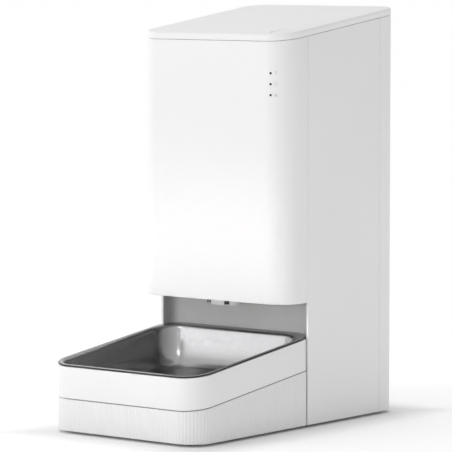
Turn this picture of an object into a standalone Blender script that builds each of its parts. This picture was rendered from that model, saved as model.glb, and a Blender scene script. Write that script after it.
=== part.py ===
"""Automatic pet feeder: a tower with a food hopper over an inclined steel bowl.

Blender 4.5. Metres, +Z up, the feeder faces -Y. The origin is on the floor, under the
middle of the whole feeder's box. The lid, the tray's seam and the bowl's rim all lie in
parallel planes that rise towards the rear.
"""
import math

import bmesh
import bpy
from mathutils import Matrix, Vector

MM = 0.001
GAP = 0.3 * MM

# Driving sizes of the tower.
WIDTH = 168 * MM
HALF = WIDTH / 2
FRONT_Y = -25.25 * MM
PANEL_Y = FRONT_Y + 33.3 * MM
REAR_SEAM_Y = FRONT_Y + 141.6 * MM
REAR_Y = FRONT_Y + 169.5 * MM
RECESS_Y = FRONT_Y + 45.5 * MM
SKIRT_Z = 2.5 * MM
SHELL_Z = 111.6 * MM
SEAM_Z = 342.5 * MM
FRONT_RADIUS = 23 * MM
REAR_RADIUS = 18 * MM
MOUTH_RADIUS = 38 * MM
WALL = 2.4 * MM

# One slope for the lid, the tray's seam and the bowl's rim.
TILT = math.radians(7.5)
RISE = math.tan(TILT)
NORMAL = Vector((0, -math.sin(TILT), math.cos(TILT)))

# The tray and its bowl.
TRAY_Y = FRONT_Y - 124.4 * MM
TRAY_REAR_Y = FRONT_Y + 31.3 * MM
TRAY_SEAM_Z = 30.4 * MM
RIM_Z = 60 * MM
BOWL_SHEET = 0.8 * MM
BOWL_WELL = 82 * MM
BOWL_BACK_Y = FRONT_Y + 36 * MM

# The lid, as heights over its seam plane.
LID_GAP = 0.4 * MM
LID_TOP = 6.3 * MM
LID_SKIN = 2.4 * MM
PLUG_DEPTH = 12 * MM
HOPPER_RIM = -1.6 * MM
BUTTON_X = 67.5 * MM
BUTTON_Y = FRONT_Y + 16.5 * MM
BUTTON_R = 10 * MM
LATCH_X = 40 * MM
HINGE_X = 45 * MM
HINGE_Y = REAR_Y + 2.8 * MM
HINGE_R = 2.6 * MM
PIN_R = 1 * MM

# The dosing drum and its gears, on one upright shaft line.
ROTOR_Y = FRONT_Y + 82 * MM
DRUM_Z = 150 * MM
DRUM_TOP_Z = 179.7 * MM
DRUM_R = 52 * MM
OUTLET_Y = ROTOR_Y - 31 * MM
OUTLET_R = 15 * MM
SHAFT_R = 4 * MM
FRAME_Z = 118 * MM
GEAR_Z = FRAME_Z + 6 * MM
GEAR_TOP_Z = GEAR_Z + 6 * MM
MODULE = 1 * MM
DRIVE_TEETH = 48
IDLER_TEETH = 30
PINION_TEETH = 12
IDLER_BEARING = math.radians(130)
PINION_BEARING = math.radians(100)
NOZZLE_Y = FRONT_Y + 21.5 * MM
NOZZLE_Z = 105.8 * MM
NOZZLE_A = 14.5 * MM
NOZZLE_B = 9.5 * MM

# The status lights sit on the shell's right front corner.
LIGHT_ANGLE = math.radians(14.6)
LIGHT_Z = (314.9 * MM, 305.3 * MM, 295.7 * MM)

# The battery bay behind the rear cover.
CELL_R = 17.1 * MM
CELL_LENGTH = 61.5 * MM
CELL_PITCH = 36 * MM
CELL_Y = REAR_Y - 22.4 * MM
CELL_Z = 15.5 * MM
DOOR_HALF = 53 * MM
DOOR_Z = (14 * MM, 80 * MM)
SOCKET_X = 62.5 * MM
SOCKET_Z = 22 * MM


def seam(y):
    """Height of the lid's seam plane at depth y."""
    return SEAM_Z + RISE * (y - FRONT_Y)


def on_tray(height, y):
    """Height at depth y of the inclined tray plane that is at height at the tray's front."""
    return height + RISE * (y - TRAY_Y)


# ---------------------------------------------------------------- scene and materials

def new_collection(name):
    collection = bpy.data.collections.new(name)
    bpy.context.scene.collection.children.link(collection)
    return collection


def clear_scene():
    for item in list(bpy.data.objects):
        bpy.data.objects.remove(item)
    for collection in list(bpy.data.collections):
        bpy.data.collections.remove(collection)


clear_scene()
PARTS = new_collection("pet_feeder")
CUTTERS = new_collection("cutters")


def material(name, colour, roughness, metallic=0.0):
    result = bpy.data.materials.new(name)
    result.use_nodes = True
    shader = result.node_tree.nodes["Principled BSDF"]
    shader.inputs["Base Color"].default_value = (*colour, 1)
    shader.inputs["Roughness"].default_value = roughness
    shader.inputs["Metallic"].default_value = metallic
    return result


WHITE = material("white_plastic", (0.86, 0.86, 0.86), 0.45)
RIBBED = material("ribbed_plastic", (0.84, 0.84, 0.84), 0.5)
STEEL = material("stainless_steel", (0.62, 0.62, 0.62), 0.25, 1.0)
RUBBER = material("dark_rubber", (0.03, 0.03, 0.03), 0.8)
SILICONE = material("grey_silicone", (0.5, 0.5, 0.5), 0.6)
CLEAR = material("smoke_bin", (0.55, 0.57, 0.6), 0.2)
GEAR = material("gear_plastic", (0.75, 0.74, 0.68), 0.4)
BLACK = material("black_plastic", (0.02, 0.02, 0.02), 0.35)
BOARD = material("circuit_board", (0.03, 0.2, 0.08), 0.5)
CELL = material("battery_sleeve", (0.1, 0.1, 0.11), 0.35, 0.3)


# ---------------------------------------------------------------- shape helpers

def arc(cx, cy, radius, start, end, steps):
    """Points of an arc, angles in degrees."""
    angles = [math.radians(start + (end - start) * i / steps) for i in range(steps + 1)]
    return [(cx + radius * math.cos(a), cy + radius * math.sin(a)) for a in angles]


def rounded(half, y0, y1, front_radius, rear_radius, steps=6):
    """A rectangle across X = 0 with round corners, counter-clockwise from the right rear."""
    f, r = front_radius, rear_radius
    return (arc(half - r, y1 - r, r, 0, 90, steps) + arc(-half + r, y1 - r, r, 90, 180, steps)
            + arc(-half + f, y0 + f, f, 180, 270, steps) + arc(half - f, y0 + f, f, 270, 360, steps))


def tower_plan(inset):
    """The whole tower seen from above, drawn in by inset."""
    return rounded(HALF - inset, FRONT_Y + inset, REAR_Y - inset, FRONT_RADIUS - inset, REAR_RADIUS - inset)


def mouth_plan(inset):
    """The hopper's mouth, whose wide front corners leave room for the lights."""
    return rounded(HALF - inset, FRONT_Y + inset, REAR_Y - inset, MOUTH_RADIUS - inset, REAR_RADIUS - inset)


def oval(a, b, y, steps=24):
    turns = [2 * math.pi * i / steps for i in range(steps)]
    return [(a * math.cos(t), y + b * math.sin(t)) for t in turns]


def circle(x, y, radius, steps=24):
    return [(x + px, py) for px, py in oval(radius, radius, y, steps)]


def place(name, mesh, surface, collection=None):
    item = bpy.data.objects.new(name, mesh)
    mesh.materials.append(surface or WHITE)
    (collection or PARTS).objects.link(item)
    if collection is CUTTERS:
        item.hide_render = True
        item.display_type = "WIRE"
    return item


def prism(name, outlines, bottom, top, surface=None, collection=None):
    """A flat outline, with its holes, extruded upright from bottom to top."""
    curve = bpy.data.curves.new(name, "CURVE")
    curve.dimensions = "2D"
    curve.fill_mode = "BOTH"
    curve.extrude = (top - bottom) / 2
    for outline in outlines:
        spline = curve.splines.new("POLY")
        spline.points.add(len(outline) - 1)
        spline.use_cyclic_u = True
        for point, (x, y) in zip(spline.points, outline):
            point.co = (x, y, 0, 1)
    guide = bpy.data.objects.new(name + "_guide", curve)
    PARTS.objects.link(guide)
    graph = bpy.context.evaluated_depsgraph_get()
    mesh = bpy.data.meshes.new_from_object(guide.evaluated_get(graph))
    bpy.data.objects.remove(guide)
    edit = bmesh.new()
    edit.from_mesh(mesh)
    bmesh.ops.remove_doubles(edit, verts=edit.verts, dist=1e-6)
    bmesh.ops.recalc_face_normals(edit, faces=edit.faces)
    bmesh.ops.translate(edit, verts=edit.verts, vec=(0, 0, (top + bottom) / 2))
    edit.to_mesh(mesh)
    edit.free()
    mesh.name = name
    return place(name, mesh, surface, collection)


def box(name, low, high, surface=None, collection=None):
    """A box from its lowest to its highest corner."""
    mesh = bpy.data.meshes.new(name)
    edit = bmesh.new()
    bmesh.ops.create_cube(edit, size=1)
    size = Vector(high) - Vector(low)
    bmesh.ops.scale(edit, verts=edit.verts, vec=size)
    bmesh.ops.translate(edit, verts=edit.verts, vec=(Vector(low) + Vector(high)) / 2)
    edit.to_mesh(mesh)
    edit.free()
    return place(name, mesh, surface, collection)


def rod(name, start, end, radius, surface=None, collection=None, steps=24):
    """A cylinder between two points."""
    start, end = Vector(start), Vector(end)
    mesh = bpy.data.meshes.new(name)
    edit = bmesh.new()
    bmesh.ops.create_cone(edit, cap_ends=True, segments=steps, radius1=radius, radius2=radius,
                          depth=(end - start).length)
    edit.to_mesh(mesh)
    edit.free()
    item = place(name, mesh, surface, collection)
    item.location = (start + end) / 2
    item.rotation_mode = "QUATERNION"
    item.rotation_quaternion = (end - start).to_track_quat("Z", "Y")
    return item


def turned(name, profile, centre, surface, turn=None, steps=24):
    """A profile of (radius, height) pairs, outer side from top to bottom, turned about Z."""
    mesh = bpy.data.meshes.new(name)
    count = len(profile)
    mesh.from_pydata([(r, 0, z) for r, z in profile], [(i, i + 1) for i in range(count - 1)], [])
    item = place(name, mesh, surface)
    item.location = centre
    item.rotation_euler = turn or (0, 0, 0)
    screw = item.modifiers.new("turn", "SCREW")
    screw.steps = steps
    screw.render_steps = steps
    screw.use_merge_vertices = True
    screw.merge_threshold = 1e-5
    return item


def loft(name, sections, surface, sheet, closed_bottom=False):
    """A skin through rings of points, given its sheet's thickness on the inner side."""
    mesh = bpy.data.meshes.new(name)
    edit = bmesh.new()
    rings = [[edit.verts.new(point) for point in section] for section in sections]
    for upper, lower in zip(rings, rings[1:]):
        for i in range(len(upper)):
            j = (i + 1) % len(upper)
            edit.faces.new((upper[i], lower[i], lower[j], upper[j]))
    if closed_bottom:
        edit.faces.new(reversed(rings[-1]))
    bmesh.ops.recalc_face_normals(edit, faces=edit.faces)
    edit.to_mesh(mesh)
    edit.free()
    item = place(name, mesh, surface)
    skin = item.modifiers.new("sheet", "SOLIDIFY")
    skin.thickness = sheet
    skin.offset = 1
    return item


def cut(item, cutter, operation="DIFFERENCE"):
    """Takes the cutter away from the item, or joins it on."""
    step = item.modifiers.new(cutter.name, "BOOLEAN")
    step.operation = operation
    step.object = cutter
    step.solver = "EXACT"
    return item


def slope(item, above, origin_y):
    """Shears every vertex higher than above into the plane that rises from origin_y."""
    for vertex in item.data.vertices:
        if vertex.co.z > above:
            vertex.co.z += RISE * (vertex.co.y - origin_y)
    return item


def round_rim(item, height, radius, steps):
    """Rounds the edges that lie flat at one height."""
    edit = bmesh.new()
    edit.from_mesh(item.data)
    flat = [e for e in edit.edges if all(abs(v.co.z - height) < 1e-6 for v in e.verts)
            and any(abs(f.normal.z) < 0.5 for f in e.link_faces)]
    bmesh.ops.bevel(edit, geom=flat, offset=radius, segments=steps, profile=0.5, affect="EDGES")
    edit.to_mesh(item.data)
    edit.free()
    return item


def smooth(item, degrees=35):
    item.data.shade_smooth()
    item.data.set_sharp_from_angle(angle=math.radians(degrees))


# ---------------------------------------------------------------- tower casing

BOSS_X = 74 * MM
SCREW_SPOTS = [(x, FRONT_Y + y * MM) for x in (-BOSS_X, BOSS_X) for y in (-60, 75)]


def screw_boss(item, x, y):
    """A boss on the inside of a wall, webbed to it, for a screw from below."""
    low, high = SKIRT_Z + 2.5 * MM + GAP, 17 * MM
    wall_x = math.copysign(HALF - WALL / 2, x)
    cut(item, rod("boss", (x, y, low), (x, y, high), 3.8 * MM, collection=CUTTERS, steps=16), "UNION")
    web = box("boss_web", (min(x, wall_x), y - MM, low), (max(x, wall_x), y + MM, high), collection=CUTTERS)
    cut(item, web, "UNION")
    cut(item, rod("boss_bore", (x, y, 0), (x, y, high - 2 * MM), 1.7 * MM, collection=CUTTERS, steps=12))


def light_normal():
    return Vector((math.sin(LIGHT_ANGLE), -math.cos(LIGHT_ANGLE), 0))


def light_point(z, depth):
    """A point on the axis of the light at height z, depth behind the shell's outer face."""
    centre = Vector((HALF - FRONT_RADIUS, FRONT_Y + FRONT_RADIUS, z))
    return centre + light_normal() * (FRONT_RADIUS - depth)


def horseshoe(front_y, rear_y, wall):
    """The closed plan of a wall that runs round two front corners, open to the rear."""
    def path(inset):
        half, r, y = HALF - inset, FRONT_RADIUS - inset, front_y + FRONT_RADIUS
        return ([(-half, rear_y)] + arc(-half + r, y, r, 180, 270, 8) + arc(half - r, y, r, 270, 360, 8)
                + [(half, rear_y)])

    return path(0) + path(wall)[::-1]


def front_shell():
    outline = horseshoe(FRONT_Y, PANEL_Y - GAP, 2.5 * MM)
    shell = slope(prism("front_shell", [outline], SHELL_Z, SEAM_Z), SHELL_Z + MM, FRONT_Y)
    for number, z in enumerate(LIGHT_Z):
        hole = rod(f"light_hole_{number}", light_point(z, -3 * MM), light_point(z, 6 * MM), 1.1 * MM,
                   collection=CUTTERS, steps=12)
        cut(shell, hole)


def shell_floor():
    inset = 2.5 * MM + GAP
    half, r = HALF - inset, FRONT_RADIUS - inset
    y = FRONT_Y + FRONT_RADIUS
    outline = (arc(-half + r, y, r, 180, 270, 6) + arc(half - r, y, r, 270, 360, 6)
               + [(half, RECESS_Y - GAP), (-half, RECESS_Y - GAP)])
    hole = oval(NOZZLE_A + GAP, NOZZLE_B + GAP, NOZZLE_Y)
    prism("shell_floor", [outline, hole], SHELL_Z, SHELL_Z + 2.2 * MM)


def side_panel(name, side):
    outer, inner = side * HALF, side * (HALF - WALL)
    outline = [(inner, PANEL_Y), (outer, PANEL_Y), (outer, REAR_SEAM_Y), (inner, REAR_SEAM_Y)]
    panel = slope(prism(name, [outline], SKIRT_Z, SEAM_Z), SKIRT_Z + MM, FRONT_Y)
    for x, y in SCREW_SPOTS:
        if x * side > 0 and y > PANEL_Y:
            screw_boss(panel, x, y)


def rear_cover():
    def bracket(inset):
        half, y, r = HALF - inset, REAR_Y - inset, REAR_RADIUS - inset
        return ([(half, REAR_SEAM_Y + GAP)] + arc(half - r, y - r, r, 0, 90, 8)
                + arc(-half + r, y - r, r, 90, 180, 8) + [(-half, REAR_SEAM_Y + GAP)])

    outline = bracket(0) + bracket(WALL)[::-1]
    cover = slope(prism("rear_cover", [outline], SKIRT_Z, SEAM_Z), SKIRT_Z + MM, FRONT_Y)
    opening = box("door_opening", (-DOOR_HALF, REAR_Y - 8 * MM, DOOR_Z[0]),
                  (DOOR_HALF, REAR_Y + 8 * MM, DOOR_Z[1]), collection=CUTTERS)
    hole = rod("socket_hole", (SOCKET_X, REAR_Y - 8 * MM, SOCKET_Z), (SOCKET_X, REAR_Y + 8 * MM, SOCKET_Z),
               5.3 * MM, collection=CUTTERS)
    cut(cut(cover, opening), hole)


def recess_wall():
    half = HALF - WALL - GAP
    box("recess_wall", (-half, RECESS_Y, SKIRT_Z + 3 * MM),
        (half, RECESS_Y + 2.2 * MM, SHELL_Z - GAP), RIBBED)


def base_plate():
    inset = WALL + GAP
    outline = rounded(HALF - inset, TRAY_Y + inset, REAR_Y - inset, FRONT_RADIUS - inset, REAR_RADIUS - inset)
    plate = prism("base_plate", [outline], SKIRT_Z, SKIRT_Z + 2.5 * MM)
    for number, (x, y) in enumerate(SCREW_SPOTS):
        sink = rod(f"screw_sink_{number}", (x, y, 0), (x, y, SKIRT_Z + 1.6 * MM), 3.6 * MM,
                   collection=CUTTERS, steps=16)
        hole = rod(f"screw_hole_{number}", (x, y, 0), (x, y, 20 * MM), 1.8 * MM, collection=CUTTERS,
                   steps=12)
        cut(cut(plate, sink), hole)


def base_screws():
    for number, (x, y) in enumerate(SCREW_SPOTS, 1):
        profile = [(0, 11 * MM), (1.4 * MM, 11 * MM), (1.4 * MM, 1.6 * MM - GAP), (3.2 * MM, 1.6 * MM - GAP),
                   (3.2 * MM, 0), (0, 0)]
        turned(f"base_screw_{number}", profile, (x, y, SKIRT_Z + 0.1 * MM), STEEL, steps=12)


def feet():
    spots = {"foot_front_left": (-62, -103), "foot_front_right": (62, -103),
             "foot_rear_left": (-68, 146), "foot_rear_right": (68, 146)}
    for name, (x, y) in spots.items():
        profile = [(0, 2.2), (7, 2.2), (7, 0.6), (6.4, 0), (0, 0)]
        turned(name, [(r * MM, z * MM) for r, z in profile], (x * MM, FRONT_Y + y * MM, 0), RUBBER)


# ---------------------------------------------------------------- tray and bowl

def tray_base():
    outline = horseshoe(TRAY_Y, TRAY_REAR_Y, WALL)
    band = slope(prism("tray_base", [outline], SKIRT_Z, TRAY_SEAM_Z, RIBBED), SKIRT_Z + MM, TRAY_Y)
    for x, y in SCREW_SPOTS:
        if y < TRAY_REAR_Y:
            screw_boss(band, x, y)


def tray_ring():
    """The bowl's holder: as wide as the tower in front, with a narrower end in the recess."""
    nose_half, nose_y, nose_r = 80.9 * MM, FRONT_Y + 44 * MM, 19 * MM
    start = math.degrees(math.asin((TRAY_REAR_Y - nose_y + nose_r) / nose_r))
    r = 2 * MM
    right = arc(HALF - r, TRAY_REAR_Y - r, r, 0, 90, 3)
    right += arc(nose_half - nose_r, nose_y - nose_r, nose_r, start, 90, 6)
    left = [(-x, y) for x, y in reversed(right)]
    y = TRAY_Y + FRONT_RADIUS
    front = arc(-HALF + FRONT_RADIUS, y, FRONT_RADIUS, 180, 270, 8)
    front += arc(HALF - FRONT_RADIUS, y, FRONT_RADIUS, 270, 360, 8)
    well = rounded(BOWL_WELL, TRAY_Y + HALF - BOWL_WELL, BOWL_BACK_Y, 21 * MM, 22 * MM)
    top = RIM_Z - BOWL_SHEET - 0.2 * MM
    slope(prism("tray_ring", [right + left + front, well], TRAY_SEAM_Z + LID_GAP, top), 0, TRAY_Y)


def bowl():
    """A pressed sheet: a rolled flange, steep walls and a wide radius into a flat bottom."""
    def ring(half, y0, y1, front_radius, rear_radius, depth):
        outline = rounded(half, y0, y1, front_radius, rear_radius, 7)
        return [(x, y, on_tray(RIM_Z - BOWL_SHEET - depth, y)) for x, y in outline]

    flange = ring(HALF - 0.8 * MM, TRAY_Y + 0.8 * MM, FRONT_Y + 43.2 * MM, 22.2 * MM, 20 * MM, 0)
    wall = [(0.9, 0), (2.2, 0.9), (2.9, 3.2), (5, 14), (8.4, 25), (13, 31.5), (20, 35), (29, 36)]
    sections = [flange]
    for inset, depth in wall:
        inset, depth = inset * MM, depth * MM
        sections.append(ring(BOWL_WELL - inset, TRAY_Y + HALF - BOWL_WELL + inset, BOWL_BACK_Y - inset,
                             max(21 * MM - inset / 2, 9 * MM), max(22 * MM - inset / 2, 9 * MM), depth))
    loft("bowl", sections, STEEL, BOWL_SHEET, closed_bottom=True)


# ---------------------------------------------------------------- lid

def lid_prism(name, outlines, bottom, top, surface=None, collection=None):
    """A prism between two heights over the lid's seam plane."""
    return prism(name, outlines, SEAM_Z + bottom, SEAM_Z + top, surface, collection)


def lid_point(x, y, height):
    """A point on the normal of the seam plane that starts at (x, y)."""
    return Vector((x, y, seam(y))) + NORMAL * height


def hinge_z():
    return seam(REAR_Y) + (LID_GAP + LID_TOP) / 2


def barrel(name, x0, x1, radius, surface=None, collection=None):
    return rod(name, (x0, HINGE_Y, hinge_z()), (x1, HINGE_Y, hinge_z()), radius, surface, collection, 16)


def lid_cover():
    cover = lid_prism("lid_cover", [tower_plan(0)], LID_GAP, LID_TOP)
    slope(round_rim(cover, SEAM_Z + LID_TOP, 1.8 * MM, 3), 0, FRONT_Y)
    pocket = lid_prism("lid_pocket", [tower_plan(WALL)], -3 * MM, LID_TOP - LID_SKIN, collection=CUTTERS)
    cut(cover, slope(pocket, 0, FRONT_Y))
    cut(cover, rod("button_hole", lid_point(BUTTON_X, BUTTON_Y, 0), lid_point(BUTTON_X, BUTTON_Y, 12 * MM),
                   BUTTON_R + GAP, collection=CUTTERS, steps=32))
    z = hinge_z()
    for side in (-1, 1):
        for x in (side * HINGE_X - 5.3 * MM, side * HINGE_X + 5.3 * MM):
            x0, x1 = x - 2 * MM, x + 2 * MM
            cut(cover, box("ear_web", (x0, REAR_Y - 1.2 * MM, z - 1.9 * MM),
                           (x1, HINGE_Y, z + 1.9 * MM), collection=CUTTERS), "UNION")
            cut(cover, barrel("ear", x0, x1, HINGE_R, collection=CUTTERS), "UNION")
        cut(cover, barrel("ear_bore", side * HINGE_X - 12 * MM, side * HINGE_X + 12 * MM, PIN_R + 0.1 * MM,
                          collection=CUTTERS))


def hinge_brackets():
    z = hinge_z()
    for name, side in (("left", -1), ("right", 1)):
        x = side * HINGE_X
        leaf = box(f"hinge_bracket_{name}", (x - 3 * MM, REAR_Y + GAP, z - 22 * MM),
                   (x + 3 * MM, REAR_Y + GAP + 1.5 * MM, z - MM), WHITE)
        cut(leaf, barrel("knuckle", x - 3 * MM, x + 3 * MM, HINGE_R, collection=CUTTERS), "UNION")
        cut(leaf, barrel("knuckle_bore", x - 6 * MM, x + 6 * MM, PIN_R + 0.1 * MM, collection=CUTTERS))
        barrel(f"hinge_pin_{name}", x - 7.5 * MM, x + 7.5 * MM, PIN_R, STEEL)


def lid_liner():
    """A shallow pan in the hopper's mouth, hung from a flange inside the cover."""
    inset = 10 * MM
    liner = slope(lid_prism("lid_liner", [tower_plan(2.8 * MM)], 0.6 * MM, 2.6 * MM), 0, FRONT_Y)
    plug = lid_prism("liner_plug", [mouth_plan(inset)], -PLUG_DEPTH, 2 * MM, collection=CUTTERS)
    hollow = lid_prism("liner_hollow", [mouth_plan(inset + 2 * MM)], 2 * MM - PLUG_DEPTH, 8 * MM,
                       collection=CUTTERS)
    cut(liner, slope(plug, 0, FRONT_Y), "UNION")
    cut(liner, slope(hollow, 0, FRONT_Y))
    slot = box("latch_slot", (LATCH_X - 8.5 * MM, FRONT_Y, seam(FRONT_Y) - 6.5 * MM),
               (LATCH_X + 8.5 * MM, FRONT_Y + 16 * MM, seam(FRONT_Y) + 0.3 * MM), collection=CUTTERS)
    cut(liner, slot)


def lid_latch():
    """The bolt that the button draws back."""
    z = seam(FRONT_Y)
    latch = box("lid_latch", (LATCH_X - 8 * MM, FRONT_Y + 8 * MM, z - 6 * MM),
                (LATCH_X + 8 * MM, FRONT_Y + 26 * MM, z - 2.2 * MM), GEAR)
    arm = box("latch_arm", (LATCH_X, FRONT_Y + 20 * MM, z - 6 * MM),
              (BUTTON_X - 8 * MM, FRONT_Y + 26 * MM, z - 2.2 * MM), collection=CUTTERS)
    cut(latch, arm, "UNION")


def lid_gasket():
    outlines = [mouth_plan(3.4 * MM), mouth_plan(8 * MM)]
    slope(lid_prism("lid_gasket", outlines, HOPPER_RIM + GAP, 0.3 * MM, SILICONE), 0, FRONT_Y)


def lid_button():
    top = (LID_TOP - 0.1 * MM) * math.cos(TILT)
    rod("lid_button", lid_point(BUTTON_X, BUTTON_Y, top - 1.9 * MM), lid_point(BUTTON_X, BUTTON_Y, top),
        BUTTON_R, steps=32)


def desiccant_holder():
    y = FRONT_Y + 80 * MM
    top = -PLUG_DEPTH * math.cos(TILT) - GAP
    rod("desiccant_holder", lid_point(0, y, top - 9 * MM), lid_point(0, y, top), 29 * MM, SILICONE)


# ---------------------------------------------------------------- hopper and dosing drum

def hopper():
    inset = 4 * MM
    half, y0, y1 = HALF - inset, FRONT_Y + inset, REAR_Y - inset
    front, rear, hub = MOUTH_RADIUS - inset, REAR_RADIUS - inset, 50 * MM

    def level(half, y0, y1, front, rear, z):
        return [(x, y, z) for x, y in rounded(half, y0, y1, front, rear)]

    rim = [(x, y, seam(y) + HOPPER_RIM) for x, y in mouth_plan(inset)]
    sections = [rim, level(half, y0, y1, front, rear, 218 * MM),
                level(half - 9 * MM, y0 + 8 * MM, y1 - 8 * MM, 36 * MM, 20 * MM, 205 * MM),
                level(hub, ROTOR_Y - hub, ROTOR_Y + hub, hub, hub, DRUM_TOP_Z + 7 * MM),
                level(hub, ROTOR_Y - hub, ROTOR_Y + hub, hub, hub, DRUM_TOP_Z + GAP)]
    skin = loft("hopper", sections, CLEAR, 2 * MM)
    skin.modifiers["sheet"].offset = -1


def rotor_housing():
    bore = circle(0, ROTOR_Y, SHAFT_R + GAP, 16)
    outlet = circle(0, OUTLET_Y, OUTLET_R)
    drum = prism("rotor_housing", [circle(0, ROTOR_Y, DRUM_R, 36), bore, outlet], DRUM_Z, DRUM_TOP_Z)
    cut(drum, prism("drum_hollow", [circle(0, ROTOR_Y, DRUM_R - 2 * MM, 36)], DRUM_Z + 2.4 * MM,
                    DRUM_TOP_Z + 9 * MM, collection=CUTTERS))


def dosing_baffle():
    """The roof over the outlet, so food leaves only in the rotor's pockets."""
    r = DRUM_R - 2 * MM - GAP
    outline = arc(0, ROTOR_Y, r, 200, 340, 18)
    prism("dosing_baffle", [outline], DRUM_Z + 25.4 * MM, DRUM_Z + 27.4 * MM)


def rotor():
    """Six paddles on a hub."""
    paddles, hub, tip, half = 6, 10 * MM, 48 * MM, 1.2 * MM
    outline = []
    for i in range(paddles):
        a = 2 * math.pi * i / paddles
        for radius, side in ((hub, -half), (tip, -half), (tip, half), (hub, half)):
            outline.append((radius * math.cos(a) - side * math.sin(a),
                            ROTOR_Y + radius * math.sin(a) + side * math.cos(a)))
    prism("rotor", [outline, circle(0, ROTOR_Y, SHAFT_R + GAP, 16)], DRUM_Z + 3.2 * MM, DRUM_Z + 24 * MM, GEAR)


def agitator():
    """Two stirring fingers over the rotor."""
    z = DRUM_Z + 24 * MM + GAP
    hub = rod("agitator", (0, ROTOR_Y, z), (0, ROTOR_Y, z + 16 * MM), 9 * MM, SILICONE)
    bar = rod("finger", (-30 * MM, ROTOR_Y, z + 11 * MM), (30 * MM, ROTOR_Y, z + 11 * MM), 3 * MM,
              collection=CUTTERS, steps=12)
    cut(hub, bar, "UNION")


def rotor_shaft():
    rod("rotor_shaft", (0, ROTOR_Y, FRAME_Z - 2 * MM), (0, ROTOR_Y, DRUM_Z + 24 * MM), SHAFT_R, STEEL)


def gear_outline(cx, cy, teeth, first):
    """A spur gear with straight-sided teeth; first is the angle of one tooth's centre."""
    pitch = MODULE * teeth / 2
    outer, root = pitch + 0.9 * MODULE, pitch - 1.15 * MODULE
    step = 2 * math.pi / teeth
    points = []
    for i in range(teeth):
        a = first + i * step
        for radius, share in ((root, -0.34), (outer, -0.12), (outer, 0.12), (root, 0.34)):
            points.append((cx + radius * math.cos(a + share * step), cy + radius * math.sin(a + share * step)))
    return points


def gears():
    """The motor's pinion turns the rotor's gear through an idler; their teeth mesh at rest."""
    drive = Vector((0, ROTOR_Y))
    reach = MODULE * (DRIVE_TEETH + IDLER_TEETH) / 2
    idler = drive + reach * Vector((math.cos(IDLER_BEARING), math.sin(IDLER_BEARING)))
    reach = MODULE * (IDLER_TEETH + PINION_TEETH) / 2
    pinion = idler + reach * Vector((math.cos(PINION_BEARING), math.sin(PINION_BEARING)))
    idler_step, pinion_step = 2 * math.pi / IDLER_TEETH, 2 * math.pi / PINION_TEETH
    idler_first = IDLER_BEARING + math.pi + idler_step / 2
    lag = (idler_first - PINION_BEARING) % idler_step * IDLER_TEETH / PINION_TEETH
    pinion_first = PINION_BEARING + math.pi - lag + pinion_step / 2

    def gear(name, centre, teeth, first, bore):
        outlines = [gear_outline(*centre, teeth, first), circle(*centre, bore, 16)]
        prism(name, outlines, GEAR_Z, GEAR_TOP_Z, GEAR)

    gear("drive_gear", drive, DRIVE_TEETH, IDLER_BEARING, SHAFT_R + GAP)
    gear("idler_gear", idler, IDLER_TEETH, idler_first, 2.6 * MM)
    gear("motor_pinion", pinion, PINION_TEETH, pinion_first, 1.8 * MM)
    return idler, pinion


def drive_frame(idler, pinion):
    """The plate under the gears, the idler's axle and the motor."""
    z = FRAME_Z
    outline = [(-52 * MM, FRONT_Y + 57 * MM), (34 * MM, FRONT_Y + 57 * MM), (34 * MM, FRONT_Y + 155 * MM),
               (-52 * MM, FRONT_Y + 155 * MM)]
    holes = [circle(0, ROTOR_Y, SHAFT_R + GAP, 16), circle(*idler, 2.2 * MM, 16), circle(*pinion, 2.2 * MM, 16)]
    prism("gear_plate", [outline] + holes, z, z + 2.5 * MM, BLACK)
    axle = [(0, 14), (2.4, 14), (2.4, 2.8), (1.9, 2.8), (1.9, 0), (0, 0)]
    turned("idler_axle", [(r * MM, h * MM) for r, h in axle], (*idler, z), STEEL, steps=16)
    body = [(0, 46.5), (1.5, 46.5), (1.5, 34), (14, 34), (14, 0), (0, 0)]
    turned("motor", [(r * MM, h * MM) for r, h in body], (*pinion, z - 34 * MM - GAP), STEEL)


def chute():
    """The slide from the drum's outlet down to the nozzle."""
    top, bottom = DRUM_Z - GAP, SHELL_Z + 3 * MM
    sections = []
    for i in range(4):
        share = i / 3
        a = OUTLET_R + (NOZZLE_A - 1.6 * MM - OUTLET_R) * share
        b = OUTLET_R + (NOZZLE_B - 1.6 * MM - OUTLET_R) * share
        y = OUTLET_Y + (NOZZLE_Y - OUTLET_Y) * share
        z = top + (bottom - top) * share
        sections.append([(px, py, z) for px, py in oval(a, b, y)])
    loft("chute", sections, WHITE, 1.4 * MM)


def outlet_nozzle():
    outer, inner = oval(NOZZLE_A, NOZZLE_B, NOZZLE_Y), oval(NOZZLE_A - 1.6 * MM, NOZZLE_B - 1.6 * MM, NOZZLE_Y)
    nozzle = prism("outlet_nozzle", [outer, inner], NOZZLE_Z, SHELL_Z + 2.6 * MM)
    bearing = math.radians(-57)
    centre = Vector((NOZZLE_A * math.cos(bearing), NOZZLE_Y + NOZZLE_B * math.sin(bearing), NOZZLE_Z + 2.4 * MM))
    normal = Vector((math.cos(bearing) / NOZZLE_A, math.sin(bearing) / NOZZLE_B, 0)).normalized()
    turn = Matrix.Rotation(math.atan2(normal.x, -normal.y), 4, "Z")

    def block(name, half_width, half_height, surface=None, collection=None):
        """A small block through the nozzle's wall, square to it."""
        size = Vector((half_width, 1.2 * MM, half_height))
        item = box(name, -size, size, surface, collection)
        item.data.transform(turn)
        item.location = centre - normal * 0.9 * MM
        return item

    cut(nozzle, block("sensor_window", 2.2 * MM + GAP, 1.6 * MM + GAP, collection=CUTTERS))
    block("outlet_sensor", 2.2 * MM, 1.6 * MM, BLACK)


# ---------------------------------------------------------------- electrics

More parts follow.
